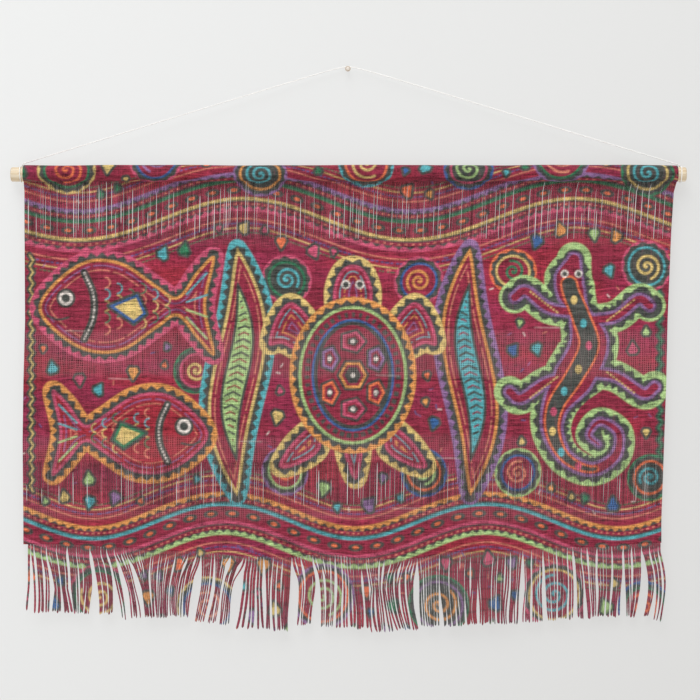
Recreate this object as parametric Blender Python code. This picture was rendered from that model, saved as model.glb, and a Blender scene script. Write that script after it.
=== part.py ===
import math

import bmesh
import bpy
import numpy as np

# Every depth in the tables is in millimetres below the nail, and every x is
# in millimetres right of it. The wall is the plane y = 0, and the front is -Y.
MM = 0.001

ROD_RADIUS = 8.7
ROD_LEFT = -408.0
ROD_RIGHT = 409.8
ROD_DEPTH = 128.6
ROD_Y = -11.2
ROD_CHAMFER = 1.2
ROD_SIDES = 28

CLOTH_THICK = 1.8
POCKET_GAP = 0.5
POCKET_STEPS = 14
POCKET_LOOSE_AT = 0.85 * math.pi
POCKET_LOOSE = 0.35
SEAM_DEPTH = 139.56
CLOTH_COLUMNS = 56
CLOTH_ROWS = 13
FOLD_START = 50.0

HEM_GAP = 0.65
STRIP_TALL = 1.5
STRIP_HALF = 1.2
STRIP_LEFT = -389.2
STRIP_RIGHT = 379.9
LAYER_GAP = 0.16
STRAND_WIDTH = 2.6
STRAND_NARROWEST = 1.1
STRAND_SPACE = 0.3
LOCK_TOP = 584.4
LOCK_LOW = 669.2
LOCK_WAIST_AT = 0.55
RING_DEPTHS = (606.0, 630.0, 650.0)
PART_ROUNDS = 80
SWAY = 1.6
SWAY_LENGTH = 46.0
SWAY_PHASE = 0.6

NAIL_SHANK = 1.5
NAIL_REACH = 6.6
NAIL_HEAD = 3.4
NAIL_RIM = 0.8
NAIL_SHOULDER = 1.4
NAIL_SHOULDER_HALF = 2.65
NAIL_CROWN = 1.7
NAIL_SIDES = 24

CORD_RADIUS = 0.7
CORD_CLEAR = 0.3
CORD_PEAK = 5.9
CORD_PEAK_ROUND = 11.0
CORD_NAIL_Y = -3.5
LOOP_PITCH = 1.9
LOOP_STEPS = 20
LOOP_TURN = math.radians(390)
CORD_LOOP_LEFT = -395.1
CORD_LOOP_RIGHT = 402.0
CORD_TURN_DEPTH = 117.2
CORD_TURN_IN = 0.3
CORD_ROUNDNESS = 2
CORD_FOOT_LEFT = (-387.1, 113.6)
CORD_FOOT_RIGHT = (395.2, 115.2)
CORD_STOPS_LEFT = (-393.0, -387.1, -330.0, -270.0, -210.0, -150.0, -100.0, -60.0, -36.0, -22.0, -12.0, -5.0)
CORD_STOPS_RIGHT = (0.0, 5.0, 12.0, 22.0, 36.0, 60.0, 100.0, 150.0, 210.0, 270.0, 330.0, 395.2, 398.7)

# depth, left edge and right edge of the cloth
CLOTH_EDGES = (
    (117.0, -393.0, 400.0),
    (136.0, -393.0, 399.0),
    (150.0, -392.0, 395.0),
    (197.0, -392.0, 392.0),
    (306.0, -391.5, 387.5),
    (378.0, -393.5, 386.0),
    (450.0, -394.5, 383.5),
    (548.0, -393.5, 380.0),
    (578.0, -393.5, 380.0),
)

# x and depth of the cloth's lower edge, at its dips and rises
HEM = (
    (-394.0, 577.0),
    (-340.0, 577.0),
    (-270.0, 581.0),
    (-232.0, 585.0),
    (-178.0, 585.0),
    (-124.0, 591.5),
    (-68.0, 593.0),
    (-40.0, 589.5),
    (-16.0, 589.5),
    (6.0, 593.0),
    (52.0, 595.0),
    (84.0, 594.0),
    (120.0, 586.5),
    (190.0, 585.0),
    (262.0, 580.5),
    (306.0, 580.0),
    (360.0, 575.5),
    (380.0, 575.0),
)

# the locks of the fringe: strands, left and right at the root, lean and bow of
# the middle line, width at the waist and at the foot as parts of the root's
# width, and the depth of the tips
LOCKS = (
    (1, -388.0, -385.5, 0.0, 0.0, 1.0, 1.0, 656.0),
    (1, -384.0, -381.5, 1.0, 2.5, 1.0, 1.0, 658.0),
    (5, -380.0, -367.0, 3.0, 3.0, 1.0, 1.2, 658.0),
    (8, -365.0, -343.0, 7.5, 2.0, 0.7, 1.15, 658.0),
    (10, -338.0, -314.0, 2.5, 1.5, 1.0, 0.75, 659.0),
    (6, -312.0, -293.0, 8.0, 4.0, 0.9, 0.8, 660.0),
    (3, -292.0, -283.5, 16.5, 2.0, 0.95, 0.55, 666.0),
    (5, -283.0, -270.0, 20.0, 3.5, 0.65, 0.7, 664.0),
    (8, -268.0, -247.0, 14.0, 3.0, 0.25, 0.15, 663.0),
    (15, -246.0, -207.0, -2.0, -2.5, 0.7, 0.65, 664.0),
    (4, -205.5, -194.0, -9.0, -5.0, 0.6, 0.45, 663.0),
    (6, -193.0, -178.5, -13.5, -3.5, 1.0, 0.75, 663.0),
    (5, -177.5, -162.5, -10.0, 3.0, 0.8, 0.8, 669.0),
    (6, -161.0, -146.0, -11.0, 1.5, 0.4, 0.55, 670.0),
    (6, -138.0, -124.0, -18.5, -4.0, 0.7, 0.8, 673.0),
    (6, -123.0, -103.0, -5.0, 0.0, 1.1, 1.6, 677.0),
    (4, -101.0, -91.5, 0.0, 0.0, 0.6, 0.6, 679.0),
    (8, -89.5, -69.0, -2.0, -1.0, 1.0, 0.9, 680.0),
    (7, -67.0, -44.0, 2.0, 4.0, 0.85, 0.75, 673.0),
    (9, -41.0, -17.0, 4.0, 2.0, 0.65, 0.55, 675.0),
    (5, -14.0, 2.0, 1.0, 1.0, 1.0, 1.2, 676.0),
    (6, 3.0, 22.0, 5.0, 0.0, 1.1, 1.2, 678.0),
    (11, 22.5, 51.0, 3.5, -2.0, 0.55, 0.75, 681.0),
    (10, 53.5, 81.0, 2.0, -5.5, 1.1, 0.95, 679.0),
    (8, 87.0, 110.0, 1.0, -1.0, 0.95, 0.9, 675.0),
    (8, 111.5, 135.0, 2.5, -1.5, 1.0, 0.95, 674.0),
    (10, 137.0, 166.0, 0.5, -1.0, 0.95, 0.9, 672.0),
    (10, 168.0, 196.0, -2.0, -1.0, 0.95, 0.85, 671.0),
    (5, 197.5, 211.0, -4.0, 0.0, 0.85, 0.8, 671.0),
    (9, 213.0, 235.0, 0.0, 0.0, 0.85, 1.0, 669.0),
    (5, 238.0, 252.0, 3.0, 0.0, 0.95, 0.7, 669.0),
    (6, 253.5, 272.0, 1.0, 1.0, 0.95, 0.9, 666.0),
    (5, 273.5, 289.0, 5.0, 1.0, 0.95, 0.95, 665.0),
    (4, 290.5, 301.0, 2.0, 0.0, 0.65, 0.5, 664.0),
    (9, 303.0, 333.5, -2.0, 0.5, 0.8, 0.85, 663.0),
    (3, 334.5, 342.5, 2.5, 0.5, 0.85, 0.5, 664.0),
    (4, 345.5, 355.0, -6.0, 3.0, 0.9, 0.35, 664.0),
    (3, 356.5, 365.0, -1.0, 7.5, 0.8, 0.8, 664.0),
    (4, 366.0, 375.5, 2.0, 5.5, 0.7, 0.4, 667.0),
    (1, 376.5, 379.0, 2.5, 5.5, 0.9, 0.9, 670.0),
)

# wave height, wave length along x, phase, and how far the crest leans per depth
FOLDS = (
    (1.5, 330.0, 0.4, 0.0035),
    (0.8, 147.0, 1.3, -0.0060),
    (0.4, 83.0, 2.6, 0.0110),
)

# height, length along x and phase of the waves in which the pocket's top stands loose
POCKET_WAVES = (
    (0.35, 257.6, 0.7),
    (0.20, 106.8, 0.0),
)

# colour and roughness of each piece
FINISHES = {
    "rod": ((0.78, 0.64, 0.44), 0.55),
    "nail": ((0.72, 0.62, 0.54), 0.40),
    "cloth": ((0.33, 0.05, 0.09), 0.90),
    "fringe": ((0.30, 0.05, 0.09), 0.90),
    "cord": ((0.86, 0.85, 0.81), 0.80),
}


def between(low, high, share):
    """The value at that share of the way from low to high."""
    return low + (high - low) * share


def hem_depth(x):
    """Depth of the cloth's lower edge at x, read along the hem table."""
    return float(np.interp(x, [row[0] for row in HEM], [row[1] for row in HEM]))


def edge_x(depth, column):
    """The left (1) or right (2) edge of the cloth at a depth."""
    return float(np.interp(depth, [row[0] for row in CLOTH_EDGES], [row[column] for row in CLOTH_EDGES]))


def fold(x, depth):
    """How far the hung cloth stands off its mean plane: three leaning waves that fade out under the seam."""
    grow = min(1.0, max(0.0, (depth - SEAM_DEPTH) / FOLD_START))
    grow = grow * grow * (3.0 - 2.0 * grow)
    total = 0.0
    for height, length, phase, lean in FOLDS:
        total += height * math.sin(2.0 * math.pi * x / length + phase + lean * depth)
    return grow * total


def add_object(name, vertices, faces):
    """One closed mesh object from points in millimetres, with its own material."""
    mesh = bpy.data.meshes.new(name)
    mesh.from_pydata([(x * MM, y * MM, z * MM) for x, y, z in vertices], [], faces)
    shell = bmesh.new()
    shell.from_mesh(mesh)
    bmesh.ops.recalc_face_normals(shell, faces=shell.faces)
    shell.to_mesh(mesh)
    shell.free()
    mesh.update()
    thing = bpy.data.objects.new(name, mesh)
    bpy.context.scene.collection.objects.link(thing)
    mesh.materials.append(make_material(name))


def make_material(name):
    """A plain Principled material in the piece's own colour."""
    colour, roughness = FINISHES[name]
    material = bpy.data.materials.new(name)
    material.use_nodes = True
    shader = material.node_tree.nodes["Principled BSDF"]
    shader.inputs["Base Color"].default_value = (*colour, 1.0)
    shader.inputs["Roughness"].default_value = roughness
    return material


def turned(profile, sides, place):
    """A solid of revolution: profile rows are (along, radius), and place turns (along, across, up) into a
    point. A radius of zero closes the end in one point."""
    vertices = []
    rings = []
    for along, radius in profile:
        if radius == 0.0:
            rings.append([len(vertices)])
            vertices.append(place(along, 0.0, 0.0))
            continue
        rings.append(list(range(len(vertices), len(vertices) + sides)))
        for side in range(sides):
            angle = 2.0 * math.pi * side / sides
            vertices.append(place(along, radius * math.cos(angle), radius * math.sin(angle)))
    faces = []
    for first, second in zip(rings, rings[1:]):
        for side in range(sides):
            after = (side + 1) % sides
            if len(first) == 1:
                faces.append((first[0], second[side], second[after]))
            elif len(second) == 1:
                faces.append((first[side], second[0], first[after]))
            else:
                faces.append((first[side], second[side], second[after], first[after]))
    return vertices, faces


def build_rod():
    """The wooden rod: a plain cylinder along X with small chamfers at both ends."""
    profile = (
        (ROD_LEFT, 0.0),
        (ROD_LEFT, ROD_RADIUS - ROD_CHAMFER),
        (ROD_LEFT + ROD_CHAMFER, ROD_RADIUS),
        (ROD_RIGHT - ROD_CHAMFER, ROD_RADIUS),
        (ROD_RIGHT, ROD_RADIUS - ROD_CHAMFER),
        (ROD_RIGHT, 0.0),
    )
    vertices, faces = turned(
        profile, ROD_SIDES, lambda along, across, up: (along, ROD_Y + across, up - ROD_DEPTH)
    )
    add_object("rod", vertices, faces)


def build_nail():
    """The round-headed nail: its part in front of the wall, with the shank's flat cut on the wall plane."""
    profile = (
        (0.0, 0.0),
        (0.0, NAIL_SHANK),
        (NAIL_REACH, NAIL_SHANK),
        (NAIL_REACH, NAIL_HEAD),
        (NAIL_REACH + NAIL_RIM, NAIL_HEAD),
        (NAIL_REACH + NAIL_SHOULDER, NAIL_SHOULDER_HALF),
        (NAIL_REACH + NAIL_CROWN, 0.0),
    )
    vertices, faces = turned(profile, NAIL_SIDES, lambda along, across, up: (across, -along, up))
    add_object("nail", vertices, faces)


def pocket_point(x, angle, radius):
    """A point of the rod pocket. The angle runs from straight down over the front, the top and the back. The
    upper front stands a little loose, more at some places than at others."""
    lift = POCKET_LOOSE
    for height, length, phase in POCKET_WAVES:
        lift += height * math.sin(2.0 * math.pi * x / length + phase)
    radius += lift * max(0.0, math.cos(angle - POCKET_LOOSE_AT)) ** 2
    return (x, ROD_Y - radius * math.sin(angle), -ROD_DEPTH - radius * math.cos(angle))


def build_cloth():
    """The woven cloth as one solid: a closed pocket round the rod whose two layers join in one seam under
    it, and the sheet that hangs from that seam down to the curved hem."""
    inner = ROD_RADIUS + POCKET_GAP
    outer = inner + CLOTH_THICK
    seam = math.asin(0.5 * CLOTH_THICK / outer)
    stations = []
    vertices = []
    for column in range(CLOTH_COLUMNS + 1):
        share = column / CLOTH_COLUMNS
        top_x = between(edge_x(ROD_DEPTH, 1), edge_x(ROD_DEPTH, 2), share)
        ring_out = []
        ring_in = []
        for step in range(POCKET_STEPS + 1):
            angle = between(seam, 2.0 * math.pi - seam, step / POCKET_STEPS)
            ring_out.append(len(vertices))
            vertices.append(pocket_point(top_x, angle, outer))
        for step in range(POCKET_STEPS):
            angle = 2.0 * math.pi * step / POCKET_STEPS
            ring_in.append(len(vertices))
            vertices.append(pocket_point(top_x, angle, inner))
        ring_in.append(ring_in[0])
        front = [ring_out[0]]
        back = [ring_out[-1]]
        hem_x = between(edge_x(HEM[0][1], 1), edge_x(HEM[0][1], 2), share)
        low = hem_depth(hem_x)
        for row in range(1, CLOTH_ROWS + 1):
            depth = between(SEAM_DEPTH, low, row / CLOTH_ROWS)
            x = between(edge_x(depth, 1), edge_x(depth, 2), share)
            middle = ROD_Y + fold(x, depth)
            front.append(len(vertices))
            vertices.append((x, middle - 0.5 * CLOTH_THICK, -depth))
            back.append(len(vertices))
            vertices.append((x, middle + 0.5 * CLOTH_THICK, -depth))
        stations.append((ring_out, ring_in, front, back))
    faces = []
    for here, there in zip(stations, stations[1:]):
        for line, next_line in zip(here, there):
            for step in range(len(line) - 1):
                faces.append((line[step], line[step + 1], next_line[step + 1], next_line[step]))
        faces.append((here[2][-1], here[3][-1], there[3][-1], there[2][-1]))
    for ring_out, ring_in, front, back in (stations[0], stations[-1]):
        for step in range(POCKET_STEPS):
            faces.append((ring_out[step], ring_out[step + 1], ring_in[step + 1], ring_in[step]))
        faces.append((ring_out[0], ring_in[0], ring_out[-1]))
        for row in range(CLOTH_ROWS):
            faces.append((front[row], front[row + 1], back[row + 1], back[row]))
    add_object("cloth", vertices, faces)


def lock_strands():
    """Every strand of the fringe from left to right, as its x and width at each ring, and its tip's depth."""
    strands = []
    for count, left, right, lean, bow, waist, foot, tip in LOCKS:
        for number in range(count):
            share = (number + 0.5) / count
            centres = []
            widths = []
            for depth in (LOCK_TOP, *RING_DEPTHS, tip):
                t = (depth - LOCK_TOP) / (LOCK_LOW - LOCK_TOP)
                spread = (right - left) * float(np.interp(t, (0.0, LOCK_WAIST_AT, 1.0), (1.0, waist, foot)))
                middle = 0.5 * (left + right) + lean * t + bow * math.sin(math.pi * t)
                centres.append(middle + (share - 0.5) * spread)
                widths.append(min(STRAND_WIDTH, max(STRAND_NARROWEST, 2.0 * spread / count - STRAND_SPACE)))
            strands.append({"x": centres, "width": widths, "tip": tip})
    return strands


def part_strands(strands):
    """Moves the strands of each of the two layers sideways until none touches its neighbour at any ring."""
    for ring in range(len(RING_DEPTHS) + 2):
        for layer in (strands[0::2], strands[1::2]):
            for _ in range(PART_ROUNDS):
                for one, other in zip(layer, layer[1:]):
                    need = 0.5 * (one["width"][ring] + other["width"][ring]) + STRAND_SPACE
                    lack = need - (other["x"][ring] - one["x"][ring])
                    if lack > 0.0:
                        one["x"][ring] -= 0.5 * lack
                        other["x"][ring] += 0.5 * lack


def strip_middle(x, depth):
    """The fringe's middle plane: the cloth's own at the hem, and a slow sway below it."""
    below = max(0.0, depth - LOCK_TOP) / (LOCK_LOW - LOCK_TOP)
    return ROD_Y + fold(x, hem_depth(x)) + SWAY * math.sin(x / SWAY_LENGTH + SWAY_PHASE) * below * below


def build_fringe():
    """The fringe: a narrow strip under the hem with every strand growing out of its underside. The strands
    are three-sided and stand in two layers, one with its flat side in front and one with it behind."""
    strands = lock_strands()
    part_strands(strands)
    vertices = []
    faces = []

    def add(x, y, depth):
        vertices.append((x, y, -depth))
        return len(vertices) - 1

    def strip_low(x):
        return hem_depth(x) + HEM_GAP + STRIP_TALL

    def corner(x, side):
        return add(x, strip_middle(x, LOCK_TOP) + side * STRIP_HALF, strip_low(x))

    chains = {-1: [corner(STRIP_LEFT, -1)], 1: [corner(STRIP_LEFT, 1)]}
    middle = [corner(STRIP_LEFT, 0)]
    for number, strand in enumerate(strands):
        side = -1 if number % 2 == 0 else 1
        ring_depths = (strip_low(strand["x"][0]), *RING_DEPTHS, strand["tip"])
        previous = None
        for ring, depth in enumerate(ring_depths):
            x = strand["x"][ring]
            half = 0.5 * strand["width"][ring]
            y = strip_middle(x, depth if ring else LOCK_TOP)
            here = (
                add(x - half, y + side * STRIP_HALF, depth),
                add(x + half, y + side * STRIP_HALF, depth),
                add(x, y + side * LAYER_GAP, depth),
            )
            if previous is None:
                strand["root"] = here
            else:
                for corner_number in range(3):
                    after = (corner_number + 1) % 3
                    faces.append(
                        (previous[corner_number], previous[after], here[after], here[corner_number])
                    )
            previous = here
        faces.append(previous)
        strand["side"] = side
        chains[side] += strand["root"][:2]
        middle.append(strand["root"][2])
    chains[-1].append(corner(STRIP_RIGHT, -1))
    chains[1].append(corner(STRIP_RIGHT, 1))
    middle.append(corner(STRIP_RIGHT, 0))

    for side in (-1, 1):
        places = [number + 1 for number, strand in enumerate(strands) if strand["side"] == side]
        starts = [0, *places]
        ends = [*places, len(middle) - 1]
        chain = chains[side]
        for number, (start, end) in enumerate(zip(starts, ends)):
            faces.append((chain[2 * number], chain[2 * number + 1], *reversed(middle[start : end + 1])))

    tops = {}
    for side in (-1, 1):
        tops[side] = []
        for low in chains[side]:
            x, y, z = vertices[low]
            tops[side].append(add(x, y, -z - STRIP_TALL))
        for step in range(len(chains[side]) - 1):
            faces.append(
                (chains[side][step], chains[side][step + 1], tops[side][step + 1], tops[side][step])
            )
    for end in (0, -1):
        faces.append((tops[-1][end], chains[-1][end], middle[end], chains[1][end], tops[1][end]))
    front = back = 0
    while front < len(tops[-1]) - 1 or back < len(tops[1]) - 1:
        front_done = front == len(tops[-1]) - 1
        back_done = back == len(tops[1]) - 1
        take_front = back_done
        if not front_done and not back_done:
            take_front = vertices[tops[-1][front + 1]][0] <= vertices[tops[1][back + 1]][0]
        if take_front:
            faces.append((tops[-1][front], tops[-1][front + 1], tops[1][back]))
            front += 1
        else:
            faces.append((tops[-1][front], tops[1][back + 1], tops[1][back]))
            back += 1
    add_object("fringe", vertices, faces)


def cord_leg(x, foot_x, foot_depth):
    """The cord between the nail and a rod end: a straight slope, rounded over the nail."""
    slope = (CORD_PEAK + foot_depth) / math.hypot(foot_x, CORD_PEAK_ROUND)
    run = math.hypot(x, CORD_PEAK_ROUND)
    y = between(CORD_NAIL_Y, ROD_Y, min(1.0, abs(x / foot_x)))
    return (x, y, CORD_PEAK - slope * run)


def cord_loop(x, outward):
    """One turn of the cord round the rod, from the top over the back, stepping outward as it goes."""
    radius = ROD_RADIUS + CORD_CLEAR + CORD_RADIUS
    points = []
    for step in range(LOOP_STEPS + 1):
        turn = LOOP_TURN * step / LOOP_STEPS
        along = x + outward * LOOP_PITCH * turn / (2.0 * math.pi)
        points.append((along, ROD_Y + radius * math.sin(turn), -ROD_DEPTH + radius * math.cos(turn)))
    return points


def build_cord():
    """The hanging cord: a turn round the rod beside the cloth at each end, and two legs from the nail."""
    left_loop = cord_loop(CORD_LOOP_LEFT, -1.0)
    right_loop = cord_loop(CORD_LOOP_RIGHT, 1.0)
    legs = []
    for x in CORD_STOPS_LEFT:
        legs.append(cord_leg(x, *CORD_FOOT_LEFT))
    for x in CORD_STOPS_RIGHT:
        legs.append(cord_leg(x, *CORD_FOOT_RIGHT))
    left_turn = [(CORD_LOOP_LEFT + CORD_TURN_IN, ROD_Y, -CORD_TURN_DEPTH)]
    right_turn = [(CORD_LOOP_RIGHT - CORD_TURN_IN, ROD_Y, -CORD_TURN_DEPTH)]
    points = [*reversed(left_loop), *left_turn, *legs, *right_turn, *right_loop]
    curve = bpy.data.curves.new("cord", "CURVE")
    curve.dimensions = "3D"
    curve.bevel_depth = CORD_RADIUS * MM
    curve.bevel_resolution = CORD_ROUNDNESS
    curve.use_fill_caps = True
    spline = curve.splines.new("POLY")
    spline.points.add(len(points) - 1)
    for point, (x, y, z) in zip(spline.points, points):
        point.co = (x * MM, y * MM, z * MM, 1.0)
    thing = bpy.data.objects.new("cord", curve)
    bpy.context.scene.collection.objects.link(thing)
    curve.materials.append(make_material("cord"))


for old in list(bpy.data.objects):
    bpy.data.objects.remove(old)
build_rod()
build_nail()
build_cloth()
build_fringe()
build_cord()
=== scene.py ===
import math

import bpy
import numpy as np
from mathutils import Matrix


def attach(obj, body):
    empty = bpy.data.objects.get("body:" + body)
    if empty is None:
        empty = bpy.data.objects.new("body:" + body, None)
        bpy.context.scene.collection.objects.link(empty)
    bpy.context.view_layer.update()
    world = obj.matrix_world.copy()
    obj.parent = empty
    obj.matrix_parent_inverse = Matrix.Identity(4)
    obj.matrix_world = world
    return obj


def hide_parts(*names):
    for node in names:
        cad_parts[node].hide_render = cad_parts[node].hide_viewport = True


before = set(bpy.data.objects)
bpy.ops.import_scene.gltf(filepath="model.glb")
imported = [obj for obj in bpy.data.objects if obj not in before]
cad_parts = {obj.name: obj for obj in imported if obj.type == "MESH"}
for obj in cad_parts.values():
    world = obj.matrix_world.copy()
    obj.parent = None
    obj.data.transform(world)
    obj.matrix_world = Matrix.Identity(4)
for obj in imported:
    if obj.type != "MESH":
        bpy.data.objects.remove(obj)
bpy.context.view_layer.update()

# The camera stands level with the middle of the hanging, a long way off and square to the wall, so the nail
# is a little left of the picture's middle. Lengths are in millimetres from the nail, depths run downward.
MM = 0.001
CAMERA_LENS = 120.0
CAMERA_SENSOR = 36.0
CAMERA_X = 2.55
CAMERA_DEPTH = 341.4
CAMERA_AWAY = 2839.0

camera = bpy.data.objects.new("camera", bpy.data.cameras.new("camera"))
camera.data.lens = CAMERA_LENS
camera.data.sensor_width = CAMERA_SENSOR
camera.location = (CAMERA_X * MM, -CAMERA_AWAY * MM, -CAMERA_DEPTH * MM)
camera.rotation_euler = (math.radians(90.0), 0.0, 0.0)
bpy.context.scene.collection.objects.link(camera)
bpy.context.scene.camera = camera

# The hanging cord is a thin two-ply cotton string. It takes one turn round each end of the rod beside the
# cloth and is hooked over the nail, drawn straight by the weight of the hanging.
CORD_RADIUS = 0.7
CORD_CLEAR = 0.3
CORD_PEAK = 5.9
CORD_PEAK_ROUND = 11.0
CORD_NAIL_Y = -3.5
CORD_FOOT_LEFT = (-387.1, 113.6)
CORD_FOOT_RIGHT = (395.2, 115.2)
CORD_REST_LEFT = -393.0
CORD_REST_RIGHT = 398.7
CORD_TURN_DEPTH = 117.2
CORD_TURN_IN = 0.3
CORD_TURN_EASE = 3.0
LOOP_LEFT = -395.1
LOOP_RIGHT = 402.0
LOOP_PITCH = 1.9
LOOP_STEPS = 20
LOOP_TURN = math.radians(390)
TURN = 2.0 * math.pi
ROD_RADIUS = 8.7
ROD_DEPTH = 128.6
ROD_Y = -11.2
CORD_RING_STEP = 0.7
CORD_EASING = 10
CORD_LEG_POINTS = 30
CORD_LEG_BUNCHING = 1.6
CORD_SIDES = 10
CORD_PLY_PITCH = 5.2
CORD_GROOVE = 0.16


def cord_leg(x, foot):
    """The cord between the nail and a rod end: x against a height that falls from the peak by the slope times
    the hypotenuse of x and the rounding, and a distance off the wall that goes evenly from nail to rod."""
    slope = (CORD_PEAK + foot[1]) / math.hypot(foot[0], CORD_PEAK_ROUND)
    y = CORD_NAIL_Y + (ROD_Y - CORD_NAIL_Y) * np.minimum(1.0, np.abs(x / foot[0]))
    return np.stack((x, y, CORD_PEAK - slope * np.hypot(x, CORD_PEAK_ROUND)), axis=1)


def rod_turn(x, outward):
    """One turn of the cord round the rod: a helix from the rod's top over its back, stepping outward."""
    turn = LOOP_TURN * np.arange(LOOP_STEPS + 1) / LOOP_STEPS
    radius = ROD_RADIUS + CORD_CLEAR + CORD_RADIUS
    along = x + outward * LOOP_PITCH * turn / TURN
    return np.stack((along, ROD_Y + radius * np.sin(turn), radius * np.cos(turn) - ROD_DEPTH), axis=1)


def walked_along(points):
    """The distance walked along a line of points, from its first to each of them."""
    return np.concatenate(((0.0,), np.cumsum(np.linalg.norm(np.diff(points, axis=0), axis=1))))


def even_path(points, step):
    """Points at even steps along a smooth curve through the given ones: on each span a Hermite cubic whose
    slopes are the differences against the distance walked."""
    points = np.asarray(points, dtype=float)
    walked = walked_along(points)
    slopes = np.gradient(points, walked, axis=0)
    at = np.linspace(0.0, walked[-1], max(2, int(walked[-1] / step) + 1))
    span = np.clip(np.searchsorted(walked, at, side="right") - 1, 0, len(points) - 2)
    size = (walked[span + 1] - walked[span])[:, None]
    t = (at - walked[span])[:, None] / size
    start = (1 + 2 * t) * (1 - t) ** 2 * points[span] + t * (1 - t) ** 2 * size * slopes[span]
    end = t**2 * (3 - 2 * t) * points[span + 1] - t**2 * (1 - t) * size * slopes[span + 1]
    return start + end


def grid_faces(rows, columns, closed=False, grids=1):
    """The four-sided faces of a grid of points kept row by row, or of several alike one after another. A
    closed grid joins its last column to its first."""
    row = np.arange(rows - 1)[:, None] * columns
    column = np.arange(columns if closed else columns - 1)[None, :]
    after = (column + 1) % columns
    corners = (row + column, row + after, row + columns + after, row + columns + column)
    faces = np.stack(np.broadcast_arrays(*corners), -1).reshape(-1, 4)
    first = np.arange(grids)[:, None, None] * rows * columns
    return (first + faces).reshape(-1, 4)


def add_piece(name, points, faces, material, colours=None, marks=None):
    """One smooth mesh from points in millimetres and arrays of four-sided faces. colours go in as the point
    colour "print", and each named row of marks as a number kept on every point."""
    mesh = bpy.data.meshes.new(name)
    faces = np.asarray(faces)
    mesh.vertices.add(len(points))
    mesh.vertices.foreach_set("co", (np.asarray(points) * MM).astype(np.float32).ravel())
    mesh.loops.add(faces.size)
    mesh.loops.foreach_set("vertex_index", faces.astype(np.int32).ravel())
    mesh.polygons.add(len(faces))
    mesh.polygons.foreach_set("loop_start", np.arange(0, faces.size, 4, dtype=np.int32))
    mesh.update(calc_edges=True)
    mesh.validate()
    mesh.polygons.foreach_set("use_smooth", np.ones(len(mesh.polygons), dtype=bool))
    if colours is not None:
        layer = mesh.color_attributes.new("print", "FLOAT_COLOR", "POINT")
        full = np.concatenate((colours, np.ones((len(colours), 1))), axis=1)
        layer.data.foreach_set("color", full.astype(np.float32).ravel())
    for label, values in (marks or {}).items():
        layer = mesh.attributes.new(label, "FLOAT", "POINT")
        layer.data.foreach_set("value", np.asarray(values, dtype=np.float32).ravel())
    thing = bpy.data.objects.new(name, mesh)
    bpy.context.scene.collection.objects.link(thing)
    mesh.materials.append(material)
    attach(thing, "root")
    return thing


class Wire:
    """One output of a node. Operators on it add Math nodes, which take numbers or other wires beside it."""

    def __init__(self, finish, socket):
        self.finish = finish
        self.socket = socket

    def maths(self, operation, *values):
        """A Math node on numbers and wires."""
        return self.finish.node("ShaderNodeMath", dict(enumerate(values)), operation=operation)

    def __add__(self, other):
        return self.maths("ADD", self, other)

    def __sub__(self, other):
        return self.maths("SUBTRACT", self, other)

    def __rsub__(self, other):
        return self.maths("SUBTRACT", other, self)

    def __mul__(self, other):
        return self.maths("MULTIPLY", self, other)

    def __truediv__(self, other):
        return self.maths("DIVIDE", self, other)

    __radd__ = __add__
    __rmul__ = __mul__

    def wave(self):
        """The sine of it."""
        return self.maths("SINE", self)

    def between(self, low, high):
        """0 below low, 1 above high, and an even slope between."""
        slope = (self - low) / (high - low)
        return self.maths("MINIMUM", self.maths("MAXIMUM", slope, 0.0), 1.0)


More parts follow.
